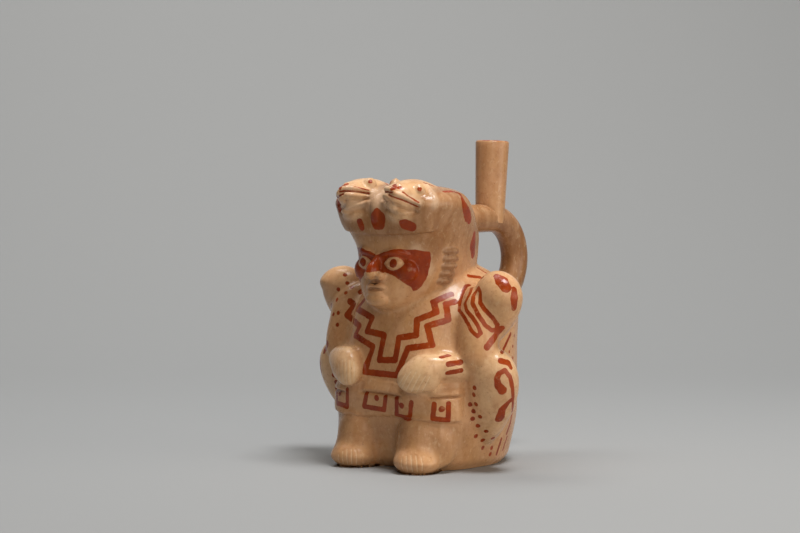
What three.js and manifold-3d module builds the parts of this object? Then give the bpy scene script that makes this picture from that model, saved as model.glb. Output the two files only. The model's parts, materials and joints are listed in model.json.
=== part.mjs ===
// Stirrup-spout bottle in fired clay: a hollow seated figure with a flared headdress, two animal heads on
// the headdress, and a hollow stirrup handle behind the head that carries one upright spout.
// Millimetres, +Z up. The figure faces -Y and +X is its left side. The pieces are luted to each other, so
// each one is cut back from its neighbour by the thickness of a slip joint.

import * as THREE from 'three';
import { mergeVertices } from 'three/addons/utils/BufferGeometryUtils.js';
import loadManifold from 'manifold-3d';

const manifold = await loadManifold();
manifold.setup();

// Walls and joints
const WALL = 5;
const JOINT = 0.3;
const BASE_THICKNESS = 7;
const BODY_PARTING = 4;
const HEAD_PARTING = -14;

// Hollow body, measured from its upright axis
const BODY_HEIGHT = 146;
const BODY_HALF_WIDTH = 59;
const BODY_FRONT = 60;
const BODY_BACK = 61;

// Hollow head with its headdress; it sits over the top of the body
const HEAD_HEIGHT = 88;
const HEAD_SINK = 35;
const HEAD_FORWARD = 19;
const HEAD_HALF_WIDTH = 41;
const HEAD_FRONT = 45;
const HEAD_BACK = 46;
const NECK_RADIUS = 20;

// Stirrup and spout
const STIRRUP_RADIUS = 10.2;
const STIRRUP_BORE = 6.6;
const STIRRUP_DROP = 26;
const STIRRUP_BEND = 30;
const STIRRUP_TURN = 142;
const STIRRUP_ROOT = 60;
const SPOUT_SETBACK = 64;
const SPOUT_LENGTH = 57;
const SPOUT_FOOT_RADIUS = 10.7;
const SPOUT_RIM_RADIUS = 12.4;
const SPOUT_WALL = 3.2;
const SPOUT_LEAN = 3;
const SPOUT_LAP = 3.5;

// Bosses on the shoulders and the haunches
const SHOULDER_BOSS_HALF_WIDTH = 14;
const SHOULDER_BOSS_HALF_DEPTH = 18;
const SHOULDER_BOSS_LENGTH = 55;
const SHOULDER_BOSS_HEIGHT = 114;
const SHOULDER_BOSS_PROUD = 32;
const SHOULDER_BOSS_LEAN = 18;
const SHOULDER_BOSS_TILT = 0;
const SHOULDER_BOSS_TURN = 12;
const HAUNCH_BOSS_HALF_WIDTH = 15;
const HAUNCH_BOSS_HALF_DEPTH = 19;
const HAUNCH_BOSS_LENGTH = 74;
const HAUNCH_BOSS_HEIGHT = 51;
const HAUNCH_BOSS_PROUD = 21.5;
const HAUNCH_BOSS_LEAN = 21;
const HAUNCH_BOSS_TILT = 14;
const HAUNCH_BOSS_TURN = 5;
const BOSS_LIFT = 0.34;

// Upper arms, and forearms with their paws
const UPPER_ARM_RADIUS = 13;
const UPPER_ARM_PROUD = 18;
const UPPER_ARM_TOP = 124;
const UPPER_ARM_TURN = 21;
const FOREARM_RADIUS = 8.8;
const PAW_HALF_WIDTH = 14;
const PAW_HALF_DEPTH = 10;
const PAW_HEIGHT = 70;
const PAW_TURN = 37;
const PAW_DROP = 13;

// Feet and lower legs
const FOOT_LENGTH = 32;
const FOOT_WIDTH = 30;
const FOOT_HEIGHT = 19;
const FOOT_TURN = 16;
const FOOT_REACH = 21.5;
const SHIN_RADIUS = 16.5;
const SHIN_HEIGHT = 36;
const SHIN_SINK = 9;

// Band round the waist
const BAND_BOTTOM = 37;
const BAND_TOP = 53;
const BAND_PROUD = 1.8;
const BAND_TURN = 26;

// Animal heads on the headdress
const ANIMAL_LENGTH = 58;
const ANIMAL_HALF_WIDTH = 16;
const ANIMAL_HALF_HEIGHT = 13;
const ANIMAL_SPREAD = 21;
const ANIMAL_DROP = 6;
const ANIMAL_REACH = 10;
const ANIMAL_EYE_RADIUS = 4.4;
const MOUTH_OPENING = 1.4;
const MOUTH_SLOPE = 19;
const GROOVE_DEPTH = 1.6;

// Hair locks in front of the ears
const LOCK_RIDGES = 5;
const LOCK_HEIGHT = 26;
const LOCK_WIDTH = 14;
const LOCK_PROUD = 1.5;
const LOCK_TURN = 12;

// Face on even thirds: chin to nose, nose to brow, brow to the edge of the headdress
const FACE_THIRD = 18;
const CHIN_RISE = 4;
const NOSE_PROUD = 8;
const NOSE_HALF_WIDTH = 7;
const EYE_HALF_WIDTH = 6.8;
const LIP_HALF_WIDTH = 11;

// Heights that follow from the sizes above
const headFoot = BODY_HEIGHT - HEAD_SINK;
const headTop = headFoot + HEAD_HEIGHT;
const stirrupTop = headTop - STIRRUP_DROP;
const noseBase = headFoot + CHIN_RISE + FACE_THIRD;
const browHeight = noseBase + FACE_THIRD;
const eyeHeight = browHeight - FACE_THIRD / 3;
const mouthHeight = noseBase - FACE_THIRD / 3;

// Body sections from the ground up, as shares of the height, half width, front and back; `square` is the
// squareness of the front half, 2 for an ellipse, and the back half stays round
const BODY_SECTIONS = [
  { up: 0, wide: 0.82, front: 0.77, back: 0.84, square: 3.8 },
  { up: 0.018, wide: 0.86, front: 0.82, back: 0.88, square: 3.8 },
  { up: 0.08, wide: 0.9, front: 0.87, back: 0.92, square: 4.2 },
  { up: 0.24, wide: 0.985, front: 0.95, back: 0.98, square: 4.4 },
  { up: 0.42, wide: 1, front: 1, back: 0.97, square: 3.3 },
  { up: 0.6, wide: 0.99, front: 0.97, back: 0.99, square: 2.5 },
  { up: 0.76, wide: 0.95, front: 0.88, back: 1.05, square: 2.3 },
  { up: 0.87, wide: 0.81, front: 0.74, back: 0.9, square: 2 },
  { up: 0.95, wide: 0.57, front: 0.53, back: 0.61, square: 2 },
  { up: 0.99, wide: 0.3, front: 0.28, back: 0.32, square: 2 },
  { up: 1, wide: 0.06, front: 0.06, back: 0.06, square: 2 },
];

// Head sections from under the chin to the crown; `ahead` moves a section's middle to the front
const HEAD_SECTIONS = [
  { up: 0, wide: 0.08, front: 0.08, back: 0.08, square: 2, ahead: 0.5 },
  { up: 0.015, wide: 0.3, front: 0.42, back: 0.4, square: 2, ahead: 0.46 },
  { up: 0.08, wide: 0.58, front: 0.72, back: 0.72, square: 2, ahead: 0.32 },
  { up: 0.2, wide: 0.82, front: 0.94, back: 0.95, square: 2.1, ahead: 0.1 },
  { up: 0.36, wide: 0.92, front: 0.99, back: 1.02, square: 2.2, ahead: 0 },
  { up: 0.5, wide: 0.97, front: 0.98, back: 1.04, square: 2.3, ahead: 0 },
  { up: 0.6, wide: 1.01, front: 0.96, back: 1.05, square: 2.9, ahead: 0.03 },
  { up: 0.75, wide: 1.13, front: 0.84, back: 1, square: 3.8, ahead: 0.2 },
  { up: 0.86, wide: 1.19, front: 0.68, back: 0.98, square: 4, ahead: 0.37 },
  { up: 0.94, wide: 1.08, front: 0.54, back: 0.85, square: 3.4, ahead: 0.42 },
  { up: 0.985, wide: 0.76, front: 0.38, back: 0.58, square: 2.6, ahead: 0.42 },
  { up: 1, wide: 0.2, front: 0.1, back: 0.15, square: 2, ahead: 0.42 },
];

const BODY_RINGS = 16;
const BODY_SIDES = 32;
const HEAD_RINGS = 16;
const HEAD_SIDES = 28;
const HOLLOW_RINGS = 11;
const HOLLOW_SIDES = 20;

const FULL_TURN = 360;
const FRONT = -90;
const degrees = THREE.MathUtils.degToRad;
const vector = (x, y, z) => new THREE.Vector3(x, y, z);
const counted = (count, make) => Array.from({ length: count }, (_, step) => make(step));

// A form built on sections. `point` gives its surface at a turn about the axis (0 = left side, -90 = front)
// and a share of the way along the sections; `surface` does so for a height, moved out along the normal.
function sectionForm(sections, size) {
  const spread = new THREE.CatmullRomCurve3(
    sections.map((s) => vector(s.wide, s.front, s.back)), false, 'catmullrom');
  const place = new THREE.CatmullRomCurve3(
    sections.map((s) => vector(s.up, s.square, s.ahead ?? 0)), false, 'catmullrom');
  const height = (share) => size.foot + THREE.MathUtils.clamp(place.getPoint(share).x, 0, 1) * size.height;
  const power = (value, exponent) => Math.sign(value) * Math.abs(value) ** exponent;

  function point(turn, share) {
    const { x: wide, y: front, z: back } = spread.getPoint(share);
    const { y: square, z: ahead } = place.getPoint(share);
    const ease = Math.sin(degrees(turn)) < 0 ? 2 / square : 1;
    const along = power(Math.sin(degrees(turn)), ease);
    const across = power(Math.cos(degrees(turn)), ease);
    const reach = along < 0 ? front * size.front : back * size.back;
    const middle = -size.forward - ahead * size.front;
    return vector(across * wide * size.halfWidth, middle + along * reach, height(share));
  }

  function shareAt(z) {
    let low = 0;
    let high = 1;
    for (let step = 0; step < 30; step++) {
      const middle = (low + high) / 2;
      if (height(middle) < z) low = middle;
      else high = middle;
    }
    return low;
  }

  function surface(turn, z, out = 0) {
    const share = shareAt(z);
    const acrossWay = point(turn + 1, share).sub(point(turn - 1, share));
    const upWay = point(turn, share + 0.01).sub(point(turn, share - 0.01));
    return point(turn, share).addScaledVector(acrossWay.cross(upWay).normalize(), out);
  }

  return { point, surface };
}

// Rings of points joined into a closed surface, with a pole in the middle of each end
function loft(rings) {
  const sides = rings[0].length;
  const middle = (ring) => ring.reduce((sum, p) => sum.add(p), vector(0, 0, 0)).divideScalar(sides);
  const firstPole = rings.length * sides;
  const lastPole = firstPole + 1;
  const lastRing = firstPole - sides;
  const faces = [];
  for (let side = 0; side < sides; side++) {
    const next = (side + 1) % sides;
    faces.push(firstPole, next, side, lastPole, lastRing + side, lastRing + next);
    for (let low = 0; low < lastRing; low += sides) {
      const high = low + sides;
      faces.push(low + side, low + next, high + next, low + side, high + next, high + side);
    }
  }
  const points = [...rings.flat(), middle(rings[0]), middle(rings.at(-1))];
  return new THREE.BufferGeometry().setFromPoints(points).setIndex(faces);
}

function formGeometry(form, rings, sides) {
  return loft(counted(rings, (ring) =>
    counted(sides, (side) => form.point((side / sides) * FULL_TURN, ring / (rings - 1)))));
}

// A limb along a smooth line: oval sections of a given half width and half height, closed at both ends
function limbGeometry(points, sections, rings, sides, upright = vector(0, 0, 1)) {
  const line = new THREE.CatmullRomCurve3(points);
  const sizes = new THREE.CatmullRomCurve3(sections.map(([wide, high]) => vector(wide, high, 0)));
  return loft(counted(rings, (ring) => {
    const share = ring / (rings - 1);
    const ahead = line.getTangent(share);
    const across = upright.clone().cross(ahead).normalize();
    const over = ahead.clone().cross(across);
    const size = sizes.getPoint(share);
    return counted(sides, (side) => {
      const angle = (side / sides) * Math.PI * 2;
      return line.getPoint(share)
        .addScaledVector(across, size.x * Math.cos(angle))
        .addScaledVector(over, size.y * Math.sin(angle));
    });
  }));
}

// An egg standing on Z, with its bulk towards the top
function eggGeometry(radius, length, lift) {
  const steps = 12;
  const profile = counted(steps + 1, (step) => {
    const angle = (step / steps) * Math.PI;
    const across = Math.sin(angle) * (1 - lift * Math.cos(angle));
    return new THREE.Vector2(step % steps === 0 ? 0 : radius * across, -Math.cos(angle) * length / 2);
  });
  return new THREE.LatheGeometry(profile, 16).rotateX(Math.PI / 2);
}

function ellipsoid(centre, halfX, halfY, halfZ, sides = 14, rings = 10) {
  return new THREE.SphereGeometry(1, sides, rings)
    .rotateX(Math.PI / 2).scale(halfX, halfY, halfZ).translate(centre.x, centre.y, centre.z);
}

// Welds a geometry's points, so that each edge is shared by two faces
function welded(geometry) {
  const points = geometry.getAttribute('position').clone();
  const bare = new THREE.BufferGeometry().setAttribute('position', points);
  if (geometry.getIndex()) bare.setIndex(geometry.getIndex().clone());
  return mergeVertices(bare, 1e-4);
}

// The same surface moved out along its own normals, or in where the distance is negative
function offset(geometry, distance) {
  const moved = welded(geometry);
  moved.computeVertexNormals();
  const place = moved.getAttribute('position');
  const normal = moved.getAttribute('normal');
  for (let i = 0; i < place.count; i++) {
    const step = new THREE.Vector3().fromBufferAttribute(normal, i).multiplyScalar(distance);
    step.add(new THREE.Vector3().fromBufferAttribute(place, i));
    place.setXYZ(i, step.x, step.y, step.z);
  }
  return moved;
}

// The same shape on the figure's right, where side is -1, with its faces turned to point out again
function onSide(side, geometry) {
  if (side > 0) return geometry;
  const mirrored = welded(geometry).scale(-1, 1, 1);
  return mirrored.setIndex(Array.from(mirrored.getIndex().array).reverse());
}

function solid(geometry) {
  const shape = welded(geometry);
  const index = Array.from(shape.getIndex().array);
  const corners = counted(index.length / 3, (face) => index.slice(3 * face, 3 * face + 3));
  const faces = corners.filter(([a, b, c]) => a !== b && b !== c && c !== a);
  return new manifold.Manifold(new manifold.Mesh({
    numProp: 3,
    vertProperties: new Float32Array(shape.getAttribute('position').array),
    triVerts: new Uint32Array(faces.flat()),
  }));
}

const grown = (geometry, distance) => solid(offset(geometry, distance));
const join = (...pieces) => pieces.reduce((all, piece) => all.add(piece));
const cut = (piece, ...tools) => tools.reduce((left, tool) => left.subtract(tool), piece);
const above = (piece, z) => piece.trimByPlane([0, 0, 1], z);
const below = (piece, z) => piece.trimByPlane([0, 0, -1], -z);
const before = (piece, y) => piece.trimByPlane([0, -1, 0], -y);
const behind = (piece, y) => piece.trimByPlane([0, 1, 0], y);

// Forms that several pieces share
const body = sectionForm(BODY_SECTIONS, {
  foot: 0, height: BODY_HEIGHT, forward: 0,
  halfWidth: BODY_HALF_WIDTH, front: BODY_FRONT, back: BODY_BACK,
});
const head = sectionForm(HEAD_SECTIONS, {
  foot: headFoot, height: HEAD_HEIGHT, forward: HEAD_FORWARD,
  halfWidth: HEAD_HALF_WIDTH, front: HEAD_FRONT, back: HEAD_BACK,
});
const bodyGeometry = formGeometry(body, BODY_RINGS, BODY_SIDES);
const headGeometry = formGeometry(head, HEAD_RINGS, HEAD_SIDES);
const bodyHollow = grown(formGeometry(body, HOLLOW_RINGS, HOLLOW_SIDES), -WALL);
const headHollow = grown(formGeometry(head, HOLLOW_RINGS, HOLLOW_SIDES), -WALL);
const bodySeat = grown(bodyGeometry, JOINT);
const headSeat = grown(headGeometry, JOINT);

// Middle line of the stirrup in the plane X = 0, by distance from the spout: negative towards the head,
// positive round the bend and on into the back
const bendLength = STIRRUP_BEND * degrees(STIRRUP_TURN);

class StirrupLine extends THREE.Curve {
  constructor(from, to) {
    super();
    this.from = from;
    this.to = to;
  }

  getPoint(share) {
    const along = THREE.MathUtils.lerp(this.from, this.to, share);
    const turn = THREE.MathUtils.clamp(along, 0, bendLength) / STIRRUP_BEND;
    const straight = along - turn * STIRRUP_BEND;
    const y = SPOUT_SETBACK + STIRRUP_BEND * Math.sin(turn) + straight * Math.cos(turn);
    const z = stirrupTop - STIRRUP_BEND * (1 - Math.cos(turn)) - straight * Math.sin(turn);
    return vector(0, y, z);
  }
}

const lap = WALL / 5;
const frontLine = new StirrupLine(-SPOUT_SETBACK, lap);
const rearLine = new StirrupLine(0, bendLength + STIRRUP_ROOT);
const rearBoreLine = new StirrupLine(-lap, bendLength + STIRRUP_ROOT + lap);

function tube(line, radius, steps) {
  const sides = 12;
  const circle = counted(sides, (side) => {
    const angle = ((side + 0.5) / sides) * Math.PI * 2;
    return new THREE.Vector2(radius * Math.cos(angle), radius * Math.sin(angle));
  });
  return solid(new THREE.ExtrudeGeometry(new THREE.Shape(circle), {
    steps, extrudePath: line, bevelEnabled: false,
  }));
}

const frontTube = (radius) => tube(frontLine, radius, 1);
const rearTube = (radius) => tube(rearLine, radius, 18);
const frontBore = frontTube(STIRRUP_BORE);
const rearBore = tube(rearBoreLine, STIRRUP_BORE, 18);

// A profile turned about the spout's leaning axis, with heights over the middle of the stirrup
function spoutTurned(profile) {
  return solid(new THREE.LatheGeometry(profile.map(([r, z]) => new THREE.Vector2(r, z)), 20)
    .rotateX(Math.PI / 2)
    .rotateX(-degrees(SPOUT_LEAN))
    .translate(0, SPOUT_SETBACK, stirrupTop));
}

const spoutSlope = (SPOUT_RIM_RADIUS - SPOUT_FOOT_RADIUS) / SPOUT_LENGTH;
const spoutRadius = (z) => SPOUT_FOOT_RADIUS + spoutSlope * z;
const boreRadius = (z) => spoutRadius(z) - SPOUT_WALL;
const boreTop = SPOUT_LENGTH + lap;
const spoutBore = spoutTurned([[0, 0], [boreRadius(0), 0], [boreRadius(boreTop), boreTop], [0, boreTop]]);

// Spout: a tapering wall with a rounded rim, its foot cut to sit astride the stirrup
function makeSpout() {
  const round = SPOUT_WALL / 2;
  const rim = counted(6, (step) => {
    const angle = (step / 5) * Math.PI;
    const middle = SPOUT_LENGTH - round;
    return [spoutRadius(middle) - round + round * Math.cos(angle), middle + round * Math.sin(angle)];
  });
  const foot = [spoutRadius(SPOUT_LAP), SPOUT_LAP];
  const wall = spoutTurned([foot, ...rim, [boreRadius(SPOUT_LAP), SPOUT_LAP], foot]);
  return cut(wall, frontTube(STIRRUP_RADIUS + JOINT), rearTube(STIRRUP_RADIUS + JOINT));
}

function makeStirrupFrontArm() {
  const arm = cut(frontTube(STIRRUP_RADIUS), frontBore, spoutBore, headSeat);
  return before(arm, SPOUT_SETBACK - JOINT);
}

function makeStirrupRearArm() {
  return cut(rearTube(STIRRUP_RADIUS), rearBore, spoutBore, bodySeat);
}

// Body: a slab and two half shells
const makeBase = () => below(solid(bodyGeometry), BASE_THICKNESS);

const neckHole = solid(new THREE.CylinderGeometry(NECK_RADIUS, NECK_RADIUS, 2 * HEAD_SINK, 24)
  .rotateX(Math.PI / 2).translate(0, -HEAD_FORWARD / 2, BODY_HEIGHT));
const bodyShell = above(
  cut(solid(bodyGeometry), bodyHollow, neckHole, rearBore), BASE_THICKNESS + JOINT);

// Head: two half shells, open below where they sit over the body
function faceFeatures() {
  const front = (z, out) => head.surface(FRONT, z, out);
  const aside = (turn, z, out) => head.surface(FRONT + turn, z, out);
  const eyeTurn = 18;
  const browTurns = [4, eyeTurn, 2 * eyeTurn];
  const browOut = [-1, -0.4, -1.6];
  const browRise = [0, FACE_THIRD * 0.14, 0];
  const bridge = limbGeometry(
    [
      front(browHeight, -NOSE_PROUD / 4),
      front(eyeHeight, 0),
      front(noseBase + FACE_THIRD * 0.28, NOSE_PROUD * 0.375),
      front(noseBase + FACE_THIRD * 0.055, -NOSE_PROUD / 8),
    ],
    [0.29, 0.6, 0.75, 0.45].map((share) => [NOSE_HALF_WIDTH * share, NOSE_HALF_WIDTH * share]), 7, 8);
  const tip = ellipsoid(front(noseBase + FACE_THIRD * 0.22, NOSE_PROUD * 0.19),
    NOSE_HALF_WIDTH * 0.72, NOSE_PROUD * 0.81, FACE_THIRD * 0.255, 10, 6);
  const wing = (side) => ellipsoid(aside(side * eyeTurn * 0.36, noseBase + FACE_THIRD / 6, NOSE_PROUD / 16),
    NOSE_HALF_WIDTH * 0.5, NOSE_PROUD / 2, FACE_THIRD * 0.2, 8, 6);
  const brow = limbGeometry(
    browTurns.map((turn, step) => aside(turn, browHeight + browRise[step], browOut[step])),
    [0.11, 0.133, 0.09].map((share) => [FACE_THIRD * share, FACE_THIRD * share]), 6, 6);
  const eye = (side) => ellipsoid(aside(side * eyeTurn, eyeHeight, -EYE_HALF_WIDTH / 5),
    EYE_HALF_WIDTH, EYE_HALF_WIDTH * 0.44, EYE_HALF_WIDTH * 0.59, 10, 6);
  const lip = (rise, wide, high) => ellipsoid(front(mouthHeight + rise * FACE_THIRD, -LIP_HALF_WIDTH / 20),
    LIP_HALF_WIDTH * wide, LIP_HALF_WIDTH * 0.28, LIP_HALF_WIDTH * high, 10, 6);
  const pairs = [1, -1].flatMap((side) => [wing(side), onSide(side, brow), eye(side)]);
  return [bridge, tip, lip(0.09, 1, 0.18), lip(-0.12, 0.86, 0.21), ...pairs].map(solid);
}

const headShell = cut(
  join(solid(headGeometry), ...faceFeatures()), headHollow, bodySeat, frontBore);

// Bosses: eggs half sunk in the body, deeper than they are wide, leaning out and tilted ahead at the top
function bossGeometry(halfWidth, halfDepth, length, height, proud, lean, tilt, turn) {
  const seat = body.surface(-turn, height, proud - halfDepth);
  return eggGeometry(1, length, BOSS_LIFT)
    .scale(halfDepth, halfWidth, 1)
    .rotateY(degrees(lean))
    .rotateX(degrees(tilt))
    .rotateZ(degrees(-turn))
    .translate(seat.x, seat.y, height);
}

const shoulderBoss = bossGeometry(
  SHOULDER_BOSS_HALF_WIDTH, SHOULDER_BOSS_HALF_DEPTH, SHOULDER_BOSS_LENGTH, SHOULDER_BOSS_HEIGHT,
  SHOULDER_BOSS_PROUD, SHOULDER_BOSS_LEAN, SHOULDER_BOSS_TILT, SHOULDER_BOSS_TURN);
const haunchBoss = bossGeometry(
  HAUNCH_BOSS_HALF_WIDTH, HAUNCH_BOSS_HALF_DEPTH, HAUNCH_BOSS_LENGTH, HAUNCH_BOSS_HEIGHT,
  HAUNCH_BOSS_PROUD, HAUNCH_BOSS_LEAN, HAUNCH_BOSS_TILT, HAUNCH_BOSS_TURN);

// Upper arm: from the shoulder down the side of the chest to the elbow, where the forearm starts
function upperArmGeometry() {
  const out = UPPER_ARM_PROUD - UPPER_ARM_RADIUS;
  const drop = UPPER_ARM_TOP - PAW_HEIGHT;
  const over = (turn, share, proud) => body.surface(
    -UPPER_ARM_TURN - turn, UPPER_ARM_TOP - share * drop, proud);
  const sizes = [0.6, 1, 1.06, 1, 0.7].map((share) => [UPPER_ARM_RADIUS * share, UPPER_ARM_RADIUS * share]);
  return limbGeometry(
    [over(-8, 0, -out), over(-3, 0.22, out), over(0, 0.5, out), over(0, 0.8, out), over(-2, 1, -out)],
    sizes, 10, 12, over(0, 0.5, 1).sub(over(0, 0.5, 0)));
}

// Forearm: out of the side of the body, round to the front, ending in a broad paw on the belly
function forearmGeometry() {
  const over = (turn, rise, out) => body.surface(
    -PAW_TURN - turn, PAW_HEIGHT + rise, out * FOREARM_RADIUS);
  const outward = over(12, 0, 1).sub(over(12, 0, 0));
  const lift = FOREARM_RADIUS / 2;
  return limbGeometry(
    [
      over(-14, 0, -1.14), over(-3, lift / 2, -0.11), over(10, lift, 0.34),
      over(23, 0, 0.45), over(32, -PAW_DROP / 2, 0.34), over(36, -PAW_DROP, 0),
    ],
    [
      [FOREARM_RADIUS * 0.6, FOREARM_RADIUS * 0.6],
      [FOREARM_RADIUS, FOREARM_RADIUS],
      [FOREARM_RADIUS, FOREARM_RADIUS],
      [PAW_HALF_WIDTH, PAW_HALF_DEPTH],
      [PAW_HALF_WIDTH, PAW_HALF_DEPTH],
      [PAW_HALF_WIDTH * 0.5, PAW_HALF_DEPTH * 0.5],
    ], 12, 12, outward);
}

// Foot: a low rounded sole with the lower leg rising from it into the belly
function footGeometries() {
  const ankle = body.surface(FRONT + FOOT_TURN, FOOT_HEIGHT, -SHIN_SINK);
  const at = (ahead, aside, z) => vector(
    ankle.x + aside * SHIN_RADIUS, ankle.y - ahead * SHIN_RADIUS, z);
  const middle = vector(ankle.x, ankle.y - FOOT_REACH + FOOT_LENGTH / 4, FOOT_HEIGHT * 0.42);
  const sole = ellipsoid(middle, FOOT_WIDTH / 2, FOOT_LENGTH / 2, FOOT_HEIGHT * 0.58, 14, 10);
  const shin = limbGeometry(
    [
      at(0.46, -0.1, -SHIN_RADIUS * 0.29), at(0.46, -0.1, SHIN_HEIGHT * 0.35),
      at(0.33, -0.1, SHIN_HEIGHT * 0.8), at(0, -0.1, SHIN_HEIGHT),
    ],
    [[0.95, 0.87], [1, 0.92], [1, 0.85], [0.85, 0.44]].map(([wide, deep]) => [
      SHIN_RADIUS * wide, SHIN_RADIUS * deep,
    ]), 7, 12, vector(0, -1, 0));
  return [sole, shin];
}

const upperArm = upperArmGeometry();
const forearm = forearmGeometry();
const [sole, shin] = footGeometries();

const grownOn = (side, ...geometries) => geometries.map((geometry) => grown(onSide(side, geometry), JOINT));
const makeUpperArm = (side) => cut(
  solid(onSide(side, upperArm)), bodySeat, headSeat, ...grownOn(side, forearm));
const makeForearm = (side) => cut(solid(onSide(side, forearm)), bodySeat);
const makeFoot = (side) => above(
  cut(join(solid(onSide(side, sole)), solid(onSide(side, shin))), bodySeat), 0);
const makeShoulderBoss = (side) => cut(
  solid(onSide(side, shoulderBoss)), bodySeat, headSeat, ...grownOn(side, upperArm));
const makeHaunchBoss = (side) => above(
  cut(solid(onSide(side, haunchBoss)), bodySeat, ...grownOn(side, upperArm, forearm, shoulderBoss)), 0);

// Thin raised band across the belly, stopping short of the haunches and cut round the paws
function makeWaistBand() {
  const skin = cut(grown(bodyGeometry, BAND_PROUD), bodySeat);
  const ends = body.surface(-BAND_TURN, (BAND_BOTTOM + BAND_TOP) / 2).y;
  const strip = before(below(above(skin, BAND_BOTTOM), BAND_TOP), ends);
  const neighbours = [1, -1].flatMap((side) => grownOn(side, forearm, sole, shin, haunchBoss));
  return cut(strip, ...neighbours);
}

// Animal head: a tapering head sunk in the crown, with a mouth groove, a swollen throat and round eyes
function makeAnimalHead(side) {
  const front = head.surface(FRONT, headTop - ANIMAL_HALF_HEIGHT).y;
  const tip = vector(ANIMAL_SPREAD * 0.95, front - ANIMAL_REACH, headTop - ANIMAL_DROP);
  const at = (back, drop, aside = 0) => vector(
    ANIMAL_SPREAD + aside * ANIMAL_HALF_WIDTH,
    tip.y + back * ANIMAL_LENGTH,
    tip.z - drop * ANIMAL_HALF_HEIGHT);
  const skull = limbGeometry(
    [at(1, 0.7), at(0.5, 0.19), at(0.17, 0.08), tip],
    [0.8, 1, 0.77, 0.36].map((share) => [ANIMAL_HALF_WIDTH * share, ANIMAL_HALF_HEIGHT * share]), 9, 12);
  const throat = ellipsoid(at(0.29, 0.96),
    ANIMAL_HALF_WIDTH * 0.8, ANIMAL_LENGTH * 0.2, ANIMAL_HALF_HEIGHT * 0.5, 12, 8);
  const groove = new THREE.BoxGeometry(4 * ANIMAL_HALF_WIDTH, ANIMAL_LENGTH, MOUTH_OPENING)
    .rotateX(-degrees(MOUTH_SLOPE)).translate(tip.x, tip.y, tip.z - MOUTH_OPENING * 0.7);
  const eyes = [1, -1].map((aside) => ellipsoid(at(0.32, -0.2, aside * 0.72),
    ANIMAL_EYE_RADIUS, ANIMAL_EYE_RADIUS, ANIMAL_EYE_RADIUS, 8, 6));
  const shape = (geometry) => solid(onSide(side, geometry));
  const core = grown(onSide(side, skull), -GROOVE_DEPTH);
  const muzzle = join(cut(shape(skull), shape(groove)), core);
  return cut(join(muzzle, shape(throat), ...eyes.map(shape)), headSeat);
}

// Hair lock: stacked ridges that hug the side of the head
function makeHairLock(side) {
  const pitch = LOCK_HEIGHT / LOCK_RIDGES;
  const sink = LOCK_PROUD / 3;
  const middle = (browHeight + noseBase) / 2 + pitch * 0.15;
  const halfTurn = THREE.MathUtils.radToDeg(LOCK_WIDTH / HEAD_FRONT) / 2;
  const turns = [-1, 0, 1].map((share) => -LOCK_TURN + share * halfTurn);
  const ridges = counted(LOCK_RIDGES, (ridge) => {
    const z = middle + (ridge - (LOCK_RIDGES - 1) / 2) * pitch;
    const end = [LOCK_PROUD * 0.55, pitch * 0.4];
    const ridgeMiddle = [LOCK_PROUD + sink, pitch * 0.66];
    return limbGeometry(turns.map((turn) => head.surface(turn, z, -sink)), [end, ridgeMiddle, end], 5, 8);
  });
  return cut(
    join(...ridges.map((ridge) => solid(onSide(side, ridge)))),
    headSeat, bodySeat, ...grownOn(side, upperArm, shoulderBoss));
}

// Fired clay in three tones: buff body, paler cream slip, darker buff hair
const BUFF = { color: 0xc89a72, roughness: 0.45, metalness: 0 };
const CREAM = { color: 0xd0af84, roughness: 0.42, metalness: 0 };
const UMBER = { color: 0xa9774f, roughness: 0.55, metalness: 0 };

const figure = new THREE.Group();

function place(name, piece, finish) {
  const { vertProperties, triVerts } = piece.getMesh();
  const geometry = new THREE.BufferGeometry()
    .setAttribute('position', new THREE.BufferAttribute(vertProperties, 3))
    .setIndex(new THREE.BufferAttribute(triVerts, 1));
  geometry.computeVertexNormals();
  const mesh = new THREE.Mesh(geometry, new THREE.MeshStandardMaterial(finish));
  mesh.name = name;
  figure.add(mesh);
}

place('base_slab', makeBase(), BUFF);
place('body_front_shell', before(bodyShell, BODY_PARTING - JOINT / 2), BUFF);
place('body_back_shell', behind(bodyShell, BODY_PARTING + JOINT / 2), BUFF);
place('head_front_shell', before(headShell, HEAD_PARTING - JOINT / 2), BUFF);
place('head_back_shell', behind(headShell, HEAD_PARTING + JOINT / 2), BUFF);
place('waist_band', makeWaistBand(), BUFF);
for (const [name, side] of [['left', 1], ['right', -1]]) {
  place(`${name}_animal_head`, makeAnimalHead(side), CREAM);
  place(`${name}_hair_lock`, makeHairLock(side), UMBER);
  place(`${name}_shoulder_boss`, makeShoulderBoss(side), CREAM);
  place(`${name}_haunch_boss`, makeHaunchBoss(side), CREAM);
  place(`${name}_upper_arm`, makeUpperArm(side), BUFF);
  place(`${name}_forearm`, makeForearm(side), CREAM);
  place(`${name}_foot`, makeFoot(side), CREAM);
}
place('stirrup_front_arm', makeStirrupFrontArm(), BUFF);
place('stirrup_rear_arm', makeStirrupRearArm(), BUFF);
place('spout', makeSpout(), BUFF);

// The middle of the object's footprint stands over the origin
const middle = new THREE.Box3().setFromObject(figure).getCenter(new THREE.Vector3());
figure.position.y = -middle.y;

const bottle = new THREE.Group();
bottle.add(figure);

export default bottle;
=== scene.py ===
import json
import math

import bpy
import numpy as np
from mathutils import Matrix, Vector
from mathutils.bvhtree import BVHTree

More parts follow.
